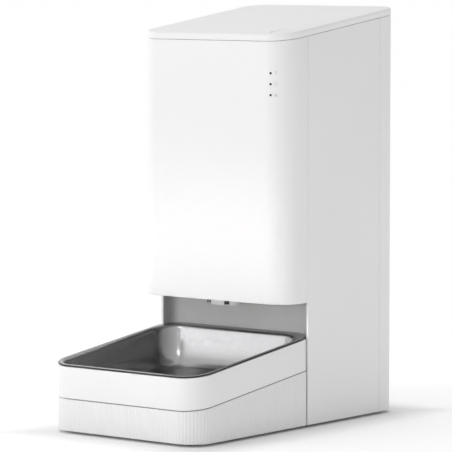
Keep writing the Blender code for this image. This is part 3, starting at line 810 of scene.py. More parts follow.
@dataclass
class Casing(Assembly):
    """The tower's outer walls, its recess and its base.

    Attributes:
        shell_wall: the front shell's wall.
        flute_pitch, flute_depth: the fine flutes on the recess wall.
        edge: the rounding of moulded edges.
    """

    shell_wall: float = 2.5 * MM
    flute_pitch: float = 3.2 * MM
    flute_depth: float = 0.6 * MM
    edge: float = 0.45 * MM

    def build(self) -> None:
        """Models and dresses the casing."""
        self.front_shell().dress(SHELL_WHITE, "feeder", "front_shell")
        self.shell_floor().dress(SHELL_WHITE, "feeder", "shell_floor")
        for name, side in (("side_panel_left", -1), ("side_panel_right", 1)):
            self.side_panel(name, side).dress(SHELL_WHITE, "feeder", name)
        self.rear_cover().dress(SHELL_WHITE, "feeder", "rear_cover")
        # The recess wall is dressed in the grey with painted shade.
        self.recess_wall().dress(RECESS_PAINTED_SHADE_GREY, "feeder", "recess_wall")
        self.base_plate().dress(SHELL_WHITE, "feeder", "base_plate")
        self.fastenings()

    def front_shell(self) -> Workpiece:
        """The wrap-round front with its three light holes."""
        rear = PANEL_Y - GAP
        outline = horseshoe(FRONT_Y, rear, 0) + horseshoe(FRONT_Y, rear, self.shell_wall)[::-1]
        shell = Workpiece.prism("shell_front", outline, SHELL_Z, STOCK_TOP).between(None, LID_SEAM)
        shell.soften(self.edge, 3)
        for z in StatusLights.heights:
            start, end = StatusLights.place(z, -3 * MM), StatusLights.place(z, 6 * MM)
            shell.cut(Workpiece.rod("light_hole", start, end, 1.15 * MM, 24))
        return shell.smooth()

    def shell_floor(self) -> Workpiece:
        """The overhang's underside with the nozzle's hole."""
        inset = self.shell_wall + GAP
        outline = horseshoe(FRONT_Y, RECESS_Y - GAP, inset)
        floor = Workpiece.prism("shell_underside", outline, SHELL_Z, SHELL_Z + 2.2 * MM)
        hole = oval(NOZZLE_A + GAP, NOZZLE_B + GAP, NOZZLE_Y)
        floor.cut(Workpiece.prism("nozzle_hole", hole, SHELL_Z - 9 * MM, SHELL_Z + 9 * MM))
        return floor.soften(GAP, 2).smooth()

    def side_panel(self, name: str, side: int) -> Workpiece:
        """One flat side from the floor to the lid, with its screw boss.

        Args:
            name: the panel's node.
            side: -1 for the left one, 1 for the right one.

        Returns:
            The panel.
        """
        inner, outer = sorted((side * (HALF - WALL), side * HALF))
        low, high = (inner, PANEL_Y, SKIRT_Z), (outer, REAR_SEAM_Y, STOCK_TOP)
        panel = Workpiece.block(name + "_outer", low, high).between(None, LID_SEAM).soften(self.edge, 3)
        x, y = next(spot for spot in SCREW_SPOTS if spot[0] * side > 0 and spot[1] > PANEL_Y)
        return panel.weld(self.boss(x, y), self.web(x, y)).cut(self.bore(x, y)).smooth()

    @staticmethod
    def boss(x: float, y: float) -> Workpiece:
        """The boss for a base screw at (x, y)."""
        return Workpiece.rod("boss", (x, y, SKIRT_Z + 2.8 * MM), (x, y, 17 * MM), 3.8 * MM, 32)

    @staticmethod
    def web(x: float, y: float) -> Workpiece:
        """The web from a boss to the wall beside it."""
        wall_x = math.copysign(HALF - WALL / 2, x)
        low = (min(x, wall_x), y - MM, SKIRT_Z + 2.8 * MM)
        return Workpiece.block("web", low, (max(x, wall_x), y + MM, 17 * MM))

    @staticmethod
    def bore(x: float, y: float) -> Workpiece:
        """The bore of a boss at (x, y)."""
        return Workpiece.rod("bore", (x, y, 0), (x, y, 15 * MM), 1.7 * MM, 24)

    def rear_cover(self) -> Workpiece:
        """The rear with the battery door's opening and the inlet's hole."""
        def bracket(inset: float) -> Outline:
            """The open outline round the two rear corners, drawn in by the inset."""
            half, y, r = HALF - inset, REAR_Y - inset, REAR_RADIUS - inset
            return ([(half, REAR_SEAM_Y + GAP)] + arc(half - r, y - r, r, 0, 90, 20)
                    + arc(-half + r, y - r, r, 90, 180, 20) + [(-half, REAR_SEAM_Y + GAP)])

        outline = bracket(0) + bracket(WALL)[::-1]
        cover = Workpiece.prism("rear_shell", outline, SKIRT_Z, STOCK_TOP).between(None, LID_SEAM)
        cover.soften(self.edge, 3)
        door_low, door_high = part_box("battery_door")
        low = door_low - Vector((GAP, 5 * MM, GAP))
        cover.cut(Workpiece.block("door_opening", low, door_high + Vector((GAP, 5 * MM, GAP))))
        low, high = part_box("dc_socket")
        x, z = (low.x + high.x) / 2, (low.z + high.z) / 2
        start, end = (x, REAR_Y - 8 * MM, z), (x, REAR_Y + 8 * MM, z)
        cover.cut(Workpiece.rod("inlet_hole", start, end, 5.3 * MM, 48))
        return cover.smooth()

    def recess_wall(self) -> Workpiece:
        """The fluted wall behind the bowl, with thin returns along the side panels."""
        low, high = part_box("recess_wall")
        half, outer, front, r = high.x, HALF - WALL - 0.05 * MM, PANEL_Y + GAP, 3 * MM
        path = [(-half, front)] + arc(r - half, low.y - r, r, 180, 90, 10)
        path += arc(half - r, low.y - r, r, 90, 0, 10) + [(half, front)]
        outline = fluted(path, self.flute_pitch, self.flute_depth / 2)
        outline += [(outer, front), (outer, high.y), (-outer, high.y), (-outer, front)]
        return Workpiece.prism("recess_fluted_wall", outline, low.z, high.z).smooth(50)

    def base_plate(self) -> Workpiece:
        """The plate under everything, with its sunk screws and a plain rating field."""
        inset = WALL + GAP
        front, rear = FRONT_RADIUS - inset, REAR_RADIUS - inset
        outline = rounded(HALF - inset, TRAY_Y + inset, REAR_Y - inset, front, rear)
        plate = Workpiece.prism("base_floor", outline, SKIRT_Z, SKIRT_Z + 2.5 * MM).soften(0.4 * MM, 2)
        for x, y in SCREW_SPOTS:
            plate.cut(Workpiece.rod("screw_sink", (x, y, 0), (x, y, SKIRT_Z + 1.6 * MM), 3.6 * MM, 32),
                      Workpiece.rod("screw_hole", (x, y, 0), (x, y, 20 * MM), 1.8 * MM, 24))
        field_low = (-30 * MM, 20 * MM, 0)
        plate.cut(Workpiece.block("field", field_low, (30 * MM, 60 * MM, SKIRT_Z + 0.4 * MM)))
        for number in range(7):
            y = (-60 + 9 * number) * MM
            plate.cut(Workpiece.block("vent", (-22 * MM, y, 0), (22 * MM, y + 2 * MM, SKIRT_Z + 1.2 * MM)))
        return plate.smooth()

    def fastenings(self) -> None:
        """The screws and the rubber feet."""
        for number, (x, y) in enumerate(SCREW_SPOTS, 1):
            shank = [(0, 11), (1.2, 11), (1.4, 10.6), (1.4, 1.3), (2.9, 1.3), (3.2, 1.0), (3.2, 0.4),
                     (2.8, 0), (0, 0)]
            base = (x, y, SKIRT_Z + 0.1 * MM)
            screw = Workpiece.turned(f"screw_{number}", [(r * MM, h * MM) for r, h in shank], base)
            for along_x in (True, False):
                a, b = (1.9 * MM, 0.35 * MM) if along_x else (0.35 * MM, 1.9 * MM)
                low = (x - a, y - b, SKIRT_Z - MM)
                screw.cut(Workpiece.block("cross", low, (x + a, y + b, SKIRT_Z + 0.9 * MM)))
            screw.smooth().dress(SCREW_STEEL, "feeder", f"base_screw_{number}")
        foot = [(0, 2.2), (7, 2.2), (7, 0.7), (6.8, 0.25), (6.4, 0), (4.6, 0), (4.2, 0.4), (3.6, 0.4),
                (3.2, 0), (0, 0)]
        for name in ("foot_front_left", "foot_front_right", "foot_rear_left", "foot_rear_right"):
            low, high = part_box(name)
            base = ((low.x + high.x) / 2, (low.y + high.y) / 2, 0)
            profile = [(r * MM, h * MM) for r, h in foot]
            Workpiece.turned(name + "_pad", profile, base).smooth().dress(FOOT_RUBBER, "feeder", name)


class Icon(Enum):
    """The plain signs beside the lights."""

    RUN = "run"
    CLOCK = "clock"
    BELL = "bell"


@dataclass
class StatusLights(Assembly):
    """Three dark lenses on the shell's right front corner, each with a printed sign.

    Attributes:
        heights: the lenses' heights.
        icon_bearing: the signs' bearing on the corner, from -Y towards +X.
        icon_size: half a sign's height.
    """

    icon_bearing: float = math.radians(26.8)
    icon_size: float = 1.9 * MM
    heights = (314.9 * MM, 305.3 * MM, 295.7 * MM)

    @staticmethod
    def place(z: float, depth: float, bearing: float = LENS_BEARING) -> Vector:
        """The point at height z, depth behind the corner's outer face."""
        reach = FRONT_RADIUS - depth
        x, y = HALF - FRONT_RADIUS, FRONT_Y + FRONT_RADIUS
        return Vector((x + reach * math.sin(bearing), y - reach * math.cos(bearing), z))

    def build(self) -> None:
        """Models and dresses the lenses and the signs."""
        names = ("light_top", "light_middle", "light_bottom")
        for name, z, icon in zip(names, self.heights, Icon):
            out = self.place(0, 0) - self.place(0, MM)
            lens = [(0, -4), (0.95, -4), (0.95, -0.25), (0.8, -0.1), (0.45, -0.02), (0, 0)]
            profile = [(r * MM, h * MM) for r, h in lens]
            Workpiece.turned(name + "_lens", profile, self.place(z, 0), out, 24).smooth().dress(
                LENS_BLACK, "feeder", name)
            for number, shape in enumerate(self.strokes(icon)):
                self.sign(f"sign_{icon.value}_{number}", shape, z).dress(PRINT_GREY, "feeder")
        self.keep(BOARD_GREEN, "light_board")

    def strokes(self, icon: Icon) -> list[Outline]:
        """The outlines that make up one sign, in units of icon_size."""
        if icon is Icon.RUN:
            return [[(-0.9, 0.8), (-0.15, 0.1), (-0.15, -0.9), (0.15, -0.9), (0.15, 0.1), (0.9, 0.8)]]
        if icon is Icon.CLOCK:
            ring = arc(0, 0, 1, 90, 440, 28) + arc(0, 0, 0.72, 440, 90, 28)
            hand = [(-0.1, -0.1), (0.5, -0.1), (0.5, 0.1), (0.1, 0.1), (0.1, 0.55), (-0.1, 0.55)]
            return [ring, hand]
        dome = arc(0, -0.2, 0.8, 0, 180, 16) + [(-1, -0.6), (1, -0.6)]
        return [dome, arc(0, -0.72, 0.22, 180, 360, 8)]

    def sign(self, name: str, shape: Outline, z: float) -> Workpiece:
        """A printed mark, a tenth of a millimetre thick, on the corner.

        Args:
            name: the piece's name.
            shape: its outline in units of icon_size, seen from outside.
            z: its middle's height.

        Returns:
            The mark.
        """
        outline = [(x * self.icon_size, y * self.icon_size) for x, y in shape]
        mark = Workpiece.prism(name, outline, -0.12 * MM, 0.02 * MM)
        mark.turn(math.radians(90), "X", (0, 0, 0))
        mark.turn(self.icon_bearing, "Z", (0, 0, 0))
        mark.item.location = self.place(z, 0, self.icon_bearing)
        return mark.settle()


@dataclass
class Tray(Assembly):
    """The fluted foot, the lift-off ring and the steel bowl.

    Attributes:
        flute_pitch, flute_depth: the fine flutes on the foot.
        well: half the bowl opening's width.
        well_rear: the bowl opening's rear.
        sheet: the bowl's sheet.
        nose_half, nose_y, nose_r: the holder's narrower end: half its width, its rear and
            its corner radius.
        flange_y: the bowl flange's rear.
    """

    flute_pitch: float = 3.2 * MM
    flute_depth: float = 0.6 * MM
    well: float = 82 * MM
    well_rear: float = FRONT_Y + 36 * MM
    sheet: float = 0.8 * MM
    nose_half: float = 80.9 * MM
    nose_y: float = FRONT_Y + 44 * MM
    nose_r: float = 19 * MM
    flange_y: float = FRONT_Y + 43.2 * MM

    def build(self) -> None:
        """Models and dresses the tray."""
        self.foot().dress(FLUTED_WHITE, "feeder", "tray_base")
        self.ring().dress(SHELL_WHITE, "tray", "tray_ring")
        self.bowl().dress(BOWL_STEEL, "bowl", "bowl")
        # The bead wears the near-black steel with the painted shade of the rim.
        self.bead().dress(RIM_PAINTED_SHADE_STEEL, "bowl")

    def foot(self) -> Workpiece:
        """The fluted band that stays on the floor."""
        outer = fluted(horseshoe(TRAY_Y, TRAY_REAR_Y, 0), self.flute_pitch, self.flute_depth)
        inner = horseshoe(TRAY_Y, TRAY_REAR_Y, WALL)[::-1]
        band = Workpiece.prism("tray_foot", outer + inner, SKIRT_Z, TRAY_STOCK_TOP).between(None, TRAY_SEAM)
        band.soften(0.4 * MM, 2, 60)
        for x, y in SCREW_SPOTS:
            if y < TRAY_REAR_Y:
                band.weld(Casing.boss(x, y), Casing.web(x, y)).cut(Casing.bore(x, y))
        return band.smooth(50)

    def well_plan(self, inset: float, steps: int = 16) -> Outline:
        """The bowl opening's outline, drawn in by inset."""
        front, rear = (max(radius - inset / 2, 9 * MM) for radius in (21 * MM, 22 * MM))
        return rounded(self.well - inset, TRAY_Y + HALF - self.well + inset, self.well_rear - inset,
                       front, rear, steps)

    def ring(self) -> Workpiece:
        """The bowl's holder, with a narrower end in the recess."""
        middle, r = self.nose_y - self.nose_r, 2 * MM
        start = math.degrees(math.asin((TRAY_REAR_Y - middle) / self.nose_r))
        right = arc(HALF - r, TRAY_REAR_Y - r, r, 0, 90, 8)
        right += arc(self.nose_half - self.nose_r, middle, self.nose_r, start, 90, 18)
        left = [(-x, y) for x, y in reversed(right)]
        y = TRAY_Y + FRONT_RADIUS
        front = arc(-HALF + FRONT_RADIUS, y, FRONT_RADIUS, 180, 270, 24)
        front += arc(HALF - FRONT_RADIUS, y, FRONT_RADIUS, 270, 360, 24)
        ring = Workpiece.prism("tray_holder", right + left + front, 0, TRAY_STOCK_TOP)
        ring.between(TRAY_SEAM.raised(0.8 * MM), BOWL_RIM.raised(-1 * MM))
        ring.cut(Workpiece.prism("well", self.well_plan(0), 0, TRAY_STOCK_TOP))
        return ring.soften(0.5 * MM, 3).smooth()

    def bowl(self) -> Workpiece:
        """The pressed bowl: a flat flange, steep walls and a wide radius into the floor."""
        def loop(outline: Outline, depth: float) -> list[Vector]:
            """The outline laid at a depth under the rim's slope."""
            return [Vector((x, y, BOWL_RIM.height(y) - depth)) for x, y in outline]

        edge = 0.8 * MM
        flange = rounded(HALF - edge, TRAY_Y + edge, self.flange_y, FRONT_RADIUS - edge, 20 * MM)
        section = [(0.6, 0), (1.2, 0.15), (1.8, 0.6), (2.2, 1.3), (2.5, 2.2), (2.9, 4), (5, 14), (6.5, 20),
                   (8.4, 25), (10.3, 28.6), (13, 31.6), (16.2, 33.7), (20, 35), (24, 35.7), (29, 36)]
        loops = [loop(flange, 0)]
        loops += [loop(self.well_plan(inset * MM), depth * MM) for inset, depth in section]
        bowl = Workpiece.lofted("steel_bowl", loops, capped=True)
        return bowl.thicken(self.sheet, inward=False).smooth(60)

    def bead(self) -> Workpiece:
        """The rolled bead that lies on the bowl's flange, in steel darkened to near black, which paints a
        dark line of shade along the rim.
        """
        edge = 0.1 * MM
        rear = self.flange_y + 0.2 * MM
        outline = rounded(HALF - edge, TRAY_Y + edge, rear, FRONT_RADIUS - edge, 22 * MM)
        bead = Workpiece.prism("bowl_bead", outline, 0, TRAY_STOCK_TOP)
        bead.between(BOWL_RIM.raised(-0.3 * MM), BOWL_RIM.raised(0.4 * MM))
        bead.cut(Workpiece.prism("mouth", self.well_plan(0.7 * MM), 0, TRAY_STOCK_TOP))
        return bead.soften(0.3 * MM, 3).smooth()


@dataclass
class Lid(Assembly):
    """The hinged lid with its button, liner, gasket, latch and desiccant holder.

    Attributes:
        skin: the cover's thickness.
        crown: the rounding of the top edge.
        button: the button's middle.
        button_r: the hole's radius.
        hinge_x, hinge_y: how far the two hinges stand from the middle, and their depth.
        hinge_r, pin_r: the radii of their barrels and pins.
        plug: how deep the pan reaches into the hopper.
        latch_x: the latch bolt's middle.
    """

    skin: float = 2.4 * MM
    crown: float = 1.8 * MM
    button: Point = (67.5 * MM, FRONT_Y + 16.5 * MM)
    button_r: float = 10 * MM
    hinge_x: float = 45 * MM
    hinge_y: float = REAR_Y + 2.8 * MM
    hinge_r: float = 2.6 * MM
    pin_r: float = 1 * MM
    plug: float = 12 * MM
    latch_x: float = 40 * MM

    @property
    def hinge_z(self) -> float:
        """The hinge axis' height."""
        return LID_SEAM.height(REAR_Y) + 3.35 * MM

    def build(self) -> None:
        """Models and dresses the lid."""
        self.cover().dress(LID_WHITE, "lid", "lid_cover")
        self.key().dress(LID_WHITE, "lid_button", "lid_button")
        self.liner().dress(INNER_WHITE, "lid", "lid_liner")
        self.gasket().dress(SOFT_SILICONE, "lid", "lid_gasket")
        self.latch().dress(GEAR_RESIN, "lid_latch", "lid_latch")
        self.desiccant_holder().dress(SOFT_SILICONE, "desiccant", "desiccant_holder")
        self.hinges()

    def barrel(self, name: str, x0: float, x1: float, radius: float) -> Workpiece:
        """A round bar on the hinge axis."""
        start, end = ((x, self.hinge_y, self.hinge_z) for x in (x0, x1))
        return Workpiece.rod(name, start, end, radius, 40)

    def cover(self) -> Workpiece:
        """The lid's outer skin with hinge ears and the button's hole."""
        cover = Workpiece.prism("lid_top", tower_plan(0), STOCK_LOW, STOCK_TOP)
        cover.between(LID_SEAM.raised(0.4 * MM), LID_TOP)
        cover.round_edges(lambda a, b: LID_TOP.holds(a) and LID_TOP.holds(b), self.crown, 7)
        pocket = Workpiece.prism("pocket", tower_plan(WALL), STOCK_LOW, STOCK_TOP)
        cover.cut(pocket.between(None, LID_TOP.raised(-self.skin)))
        start, end = LID_SEAM.point(*self.button), LID_SEAM.point(*self.button, 12 * MM)
        cover.cut(Workpiece.rod("button_hole", start, end, self.button_r + GAP, 96))
        for side in (-1, 1):
            x, z = side * self.hinge_x, self.hinge_z
            for middle in (x - 5.3 * MM, x + 5.3 * MM):
                x0, x1 = middle - 2 * MM, middle + 2 * MM
                low, high = (x0, REAR_Y - 1.2 * MM, z - 1.9 * MM), (x1, self.hinge_y, z + 1.9 * MM)
                cover.weld(Workpiece.block("ear_web", low, high), self.barrel("ear", x0, x1, self.hinge_r))
            cover.cut(self.barrel("ear_bore", x - 12 * MM, x + 12 * MM, self.pin_r + 0.1 * MM))
        return cover.soften(0.25 * MM, 2, 50).smooth()

    def key(self) -> Workpiece:
        """The round release button, a little dished."""
        profile = [(0, -1.9), (9.4, -1.9), (9.6, -1.7), (9.6, -0.35), (9.5, -0.12), (9.2, 0), (8.4, -0.02),
                   (6, -0.14), (3, -0.22), (0, -0.25)]
        centre = LID_SEAM.point(*self.button, (6.3 * MM - 0.1 * MM) * math.cos(TILT))
        return Workpiece.turned("lid_key", [(r * MM, h * MM) for r, h in profile], centre, LID_SEAM.normal,
                                96).smooth()

    def liner(self) -> Workpiece:
        """The shallow pan in the hopper's mouth."""
        liner = Workpiece.prism("lid_pan", tower_plan(2.8 * MM), STOCK_LOW, STOCK_TOP)
        liner.between(LID_SEAM.raised(0.6 * MM), LID_SEAM.raised(2.6 * MM))
        plug = Workpiece.prism("plug", mouth_plan(10 * MM), STOCK_LOW, STOCK_TOP)
        liner.weld(plug.between(LID_SEAM.raised(-self.plug), LID_SEAM.raised(2 * MM)))
        hollow = Workpiece.prism("hollow", mouth_plan(12 * MM), STOCK_LOW, STOCK_TOP)
        liner.cut(hollow.between(LID_SEAM.raised(2 * MM - self.plug), None))
        z = LID_SEAM.z
        low = (self.latch_x - 8.5 * MM, FRONT_Y, z - 6.5 * MM)
        high = (self.latch_x + 8.5 * MM, FRONT_Y + 16 * MM, z + GAP)
        return liner.cut(Workpiece.block("latch_slot", low, high)).soften(0.4 * MM, 2, 50).smooth()

    def gasket(self) -> Workpiece:
        """The soft seal round the hopper's mouth."""
        seal = Workpiece.prism("lid_seal", mouth_plan(3.4 * MM), STOCK_LOW, STOCK_TOP)
        seal.between(LID_SEAM.raised(-1.3 * MM), LID_SEAM.raised(0.3 * MM))
        seal.cut(Workpiece.prism("inside", mouth_plan(8 * MM), STOCK_LOW, STOCK_TOP))
        return seal.soften(0.45 * MM, 3).smooth()

    def latch(self) -> Workpiece:
        """The bolt that the button draws back, with its arm."""
        z0, z1 = LID_SEAM.z - 6 * MM, LID_SEAM.z - 2.2 * MM
        x, tip, rear = self.latch_x, FRONT_Y + 8 * MM, FRONT_Y + 26 * MM
        bolt = Workpiece.block("latch_bolt", (x - 8 * MM, tip, z0), (x + 8 * MM, rear, z1))
        bolt.slice((0, tip, z0 + 1.4 * MM), (0, -0.8, -0.6))
        arm = Workpiece.block("arm", (x, rear - 6 * MM, z0), (self.button[0] - 8 * MM, rear, z1))
        return bolt.weld(arm).soften(0.35 * MM, 2).smooth()

    def desiccant_holder(self) -> Workpiece:
        """The round holder under the lid, with a ring of slots."""
        y = FRONT_Y + 80 * MM
        top = -self.plug * math.cos(TILT) - GAP
        cup = [(0, -9), (27, -9), (28.4, -8.4), (29, -7), (29, -0.6), (28.4, 0), (0, 0)]
        profile = [(r * MM, top + h * MM) for r, h in cup]
        base = LID_SEAM.point(0, y)
        holder = Workpiece.turned("desiccant_cup", profile, base, LID_SEAM.normal, 72)
        for number in range(12):
            slot = Workpiece.block("slot", (12 * MM, -MM, top - 12 * MM), (22 * MM, MM, top - 7 * MM))
            slot.turn(math.radians(30 * number), "Z", (0, 0, 0)).turn(TILT, "X", (0, 0, 0))
            slot.item.location = base
            holder.cut(slot.settle())
        return holder.smooth()

    def hinges(self) -> None:
        """The knuckles on the rear cover and their steel pins."""
        z = self.hinge_z
        for name, side in (("left", -1), ("right", 1)):
            x = side * self.hinge_x
            low, high = (x - 3 * MM, REAR_Y + GAP, z - 22 * MM), (x + 3 * MM, REAR_Y + 1.8 * MM, z - MM)
            leaf = Workpiece.block(f"hinge_leaf_{name}", low, high)
            leaf.weld(self.barrel("knuckle", x - 3 * MM, x + 3 * MM, self.hinge_r))
            leaf.cut(self.barrel("bore", x - 6 * MM, x + 6 * MM, self.pin_r + 0.1 * MM))
            leaf.soften(0.2 * MM, 2, 50).smooth().dress(SHELL_WHITE, "feeder", f"hinge_bracket_{name}")
            pin = [(0, -7.5), (0.8, -7.5), (1, -7.3), (1, 7.3), (0.8, 7.5), (0, 7.5)]
            profile = [(r * MM, h * MM) for r, h in pin]
            base = (x, self.hinge_y, z)
            Workpiece.turned(f"hinge_rod_{name}", profile, base, (1, 0, 0), 32).smooth().dress(
                SCREW_STEEL, "feeder", f"hinge_pin_{name}")


@dataclass
class Dosing(Assembly):
    """The hopper, the dosing drum with its rotor and gears, and the way down to the nozzle."""

    def build(self) -> None:
        """Models and dresses the dosing parts."""
        self.hopper().dress(SMOKED_BIN, "feeder", "hopper")
        self.housing().dress(INNER_WHITE, "feeder", "rotor_housing")
        self.baffle().dress(INNER_WHITE, "feeder", "dosing_baffle")
        self.rotor().dress(GEAR_RESIN, "rotor", "rotor")
        self.agitator().dress(SOFT_SILICONE, "rotor", "agitator")
        self.chute().dress(INNER_WHITE, "feeder", "chute")
        self.nozzle().dress(SHELL_WHITE, "feeder", "outlet_nozzle")
        self.sensor().dress(LENS_BLACK, "feeder", "outlet_sensor")
        self.port()
        self.keep(GEAR_RESIN, "drive_gear", "idler_gear", "motor_pinion")
        self.keep(SCREW_STEEL, "rotor_shaft", "idler_axle", "motor")
        self.keep(LENS_BLACK, "gear_plate")

    def hopper(self) -> Workpiece:
        """The bin: straight walls, sloping shoulders and a round neck."""
        inset = 4 * MM
        half, y0, y1 = HALF - inset, FRONT_Y + inset, REAR_Y - inset
        front, rear, hub = MOUTH_RADIUS - inset, REAR_RADIUS - inset, 50 * MM

        def level(shrink: float, z: float, front_r: float, rear_r: float) -> list[Vector]:
            """One level loop of the bin, drawn in by the shrink."""
            outline = rounded(half - shrink, y0 + shrink * 0.9, y1 - shrink * 0.9, front_r, rear_r)
            return [Vector((x, y, z)) for x, y in outline]

        def neck(z: float) -> list[Vector]:
            """One round loop of the bin's neck over the rotor."""
            return [Vector((x, y, z)) for x, y in rounded(hub, ROTOR_Y - hub, ROTOR_Y + hub, hub, hub)]

        rim = [Vector((x, y, LID_SEAM.height(y) - 1.6 * MM)) for x, y in mouth_plan(inset)]
        loops = [rim, level(0, 218 * MM, front, rear), level(2 * MM, 213 * MM, front, rear),
                 level(5 * MM, 208.6 * MM, 36 * MM, 17 * MM), level(9 * MM, 205 * MM, 36 * MM, 20 * MM),
                 neck(DRUM_TOP_Z + 8 * MM), neck(DRUM_TOP_Z + 6 * MM), neck(DRUM_TOP_Z + GAP)]
        return Workpiece.lofted("food_bin", loops).thicken(2 * MM).smooth()

    def housing(self) -> Workpiece:
        """The drum that the rotor turns in, with the outlet in its floor."""
        z0, z1 = DRUM_Z, DRUM_TOP_Z
        r, inner, bore = DRUM_R, DRUM_R - 2 * MM, SHAFT_R + GAP
        floor = z0 + 2.4 * MM
        profile = [(bore, z0), (r - 0.8 * MM, z0), (r, z0 + 0.8 * MM), (r, z1 - 0.3 * MM),
                   (r - 0.3 * MM, z1), (inner + 0.3 * MM, z1), (inner, z1 - 0.3 * MM), (inner, floor + MM),
                   (inner - MM, floor), (bore, floor)]
        drum = Workpiece.turned("dosing_drum", profile, (0, ROTOR_Y, 0), sides=96)
        drum.cut(Workpiece.rod("outlet", (0, OUTLET_Y, z0 - MM), (0, OUTLET_Y, floor + MM), 15 * MM, 64))
        return drum.smooth()

    def baffle(self) -> Workpiece:
        """The roof over the outlet."""
        outline = arc(0, ROTOR_Y, DRUM_R - 2.3 * MM, 200, 340, 48)
        low = DRUM_Z + 25.4 * MM
        return Workpiece.prism("drum_roof", outline, low, low + 2 * MM).soften(0.4 * MM, 2).smooth()

    def rotor(self) -> Workpiece:
        """Six paddles on a hub, with rounded tips."""
        low, high = DRUM_Z + 3.2 * MM, DRUM_Z + 24 * MM
        rotor = Workpiece.rod("paddle_wheel", (0, ROTOR_Y, low), (0, ROTOR_Y, high), 10 * MM, 64)
        for number in range(6):
            blade_low = (8 * MM, ROTOR_Y - 1.2 * MM, low)
            blade = Workpiece.block("blade", blade_low, (48 * MM, ROTOR_Y + 1.2 * MM, high))
            rotor.weld(blade.turn(math.radians(60 * number), "Z", (0, ROTOR_Y, 0)))
        start, end = (0, ROTOR_Y, low - MM), (0, ROTOR_Y, high + MM)
        rotor.cut(Workpiece.rod("bore", start, end, SHAFT_R + GAP, 48))
        return rotor.soften(0.4 * MM, 2, 50).smooth()

    def agitator(self) -> Workpiece:
        """Two stirring fingers on a domed hub."""
        z = DRUM_Z + 24 * MM + GAP
        profile = [(0, 0), (9, 0), (9, 12.4), (8.3, 14.4), (6.4, 15.6), (4, 16), (0, 16)]
        stirrer = Workpiece.turned("stirrer", [(r * MM, h * MM) for r, h in profile], (0, ROTOR_Y, z))
        for side in (-1, 1):
            finger = [(0, 0), (3, 0), (3, 28.6), (2.6, 29.5), (1.6, 30), (0, 30)]
            points = [(r * MM, h * MM) for r, h in finger]
            base = (0, ROTOR_Y, z + 11 * MM)
            stirrer.weld(Workpiece.turned("finger", points, base, (side, 0, 0), 24))
        return stirrer.soften(0.3 * MM, 2, 50).smooth()

    def chute(self) -> Workpiece:
        """The slide from the drum down to the nozzle, round above and oval below."""
        top, bottom, steps = DRUM_Z - GAP, SHELL_Z + 3 * MM, 12
        loops = []
        for i in range(steps + 1):
            share = i / steps
            a = 15 * MM + (NOZZLE_A - 16.6 * MM) * share
            b = 15 * MM + (NOZZLE_B - 16.6 * MM) * share
            y, z = OUTLET_Y + (NOZZLE_Y - OUTLET_Y) * share, top + (bottom - top) * share
            loops.append([Vector((px, py, z)) for px, py in oval(a, b, y)])
        return Workpiece.lofted("food_slide", loops).thicken(1.4 * MM, inward=False).smooth()

    def nozzle(self) -> Workpiece:
        """The oval mouth over the bowl, with the sensor's window."""
        low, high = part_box("outlet_nozzle")
        mouth = Workpiece.prism("nozzle_oval", oval(NOZZLE_A, NOZZLE_B, NOZZLE_Y, 96), low.z, high.z)
        inner = oval(NOZZLE_A - 1.6 * MM, NOZZLE_B - 1.6 * MM, NOZZLE_Y, 96)
        mouth.cut(Workpiece.prism("inside", inner, low.z - MM, high.z + MM)).soften(0.5 * MM, 3)
        mouth.cut(self.window_block("window", 2.5 * MM, 1.9 * MM))
        return mouth.smooth()

    def wall_place(self, degrees: float) -> tuple[Vector, Vector]:
        """A point on the nozzle's outer face and the normal there."""
        bearing = math.radians(degrees)
        point = Vector((NOZZLE_A * math.cos(bearing), NOZZLE_Y + NOZZLE_B * math.sin(bearing), 108.2 * MM))
        return point, Vector((math.cos(bearing) / NOZZLE_A, math.sin(bearing) / NOZZLE_B, 0)).normalized()

    def window_block(self, name: str, half_width: float, half_height: float) -> Workpiece:
        """A block through the nozzle's wall, square to it, at the sensor."""
        point, normal = self.wall_place(-57)
        high = Vector((half_width, 1.2 * MM, half_height))
        block = Workpiece.block(name, -high, high)
        block.turn(math.atan2(normal.x, -normal.y), "Z", (0, 0, 0))
        block.item.location = point - normal * 0.9 * MM
        return block.settle()

    def port(self) -> None:
        """The dark port beside the nozzle, with a pale rib down its middle."""
        point, _ = self.wall_place(-150)
        turn = math.radians(38)
        for name, half_width, depth, finish in (("side_port", 1.5, 1.1, LENS_BLACK),
                                                ("side_port_rib", 0.3, 1.3, INNER_WHITE)):
            high = Vector((half_width * MM, depth * MM, 2.4 * MM))
            block = Workpiece.block(name, -high, high).soften(0.12 * MM, 2)
            block.turn(turn, "Z", (0, 0, 0))
            block.item.location = (point.x - 1.35 * MM, point.y - 1.05 * MM, SHELL_Z - 2.3 * MM)
            block.settle().smooth().dress(finish, "feeder")

    def sensor(self) -> Workpiece:
        """The dark lens in the nozzle's window, with rounded edges."""
        return self.window_block("sensor_lens", 2.2 * MM, 1.6 * MM).soften(0.35 * MM, 3).smooth()


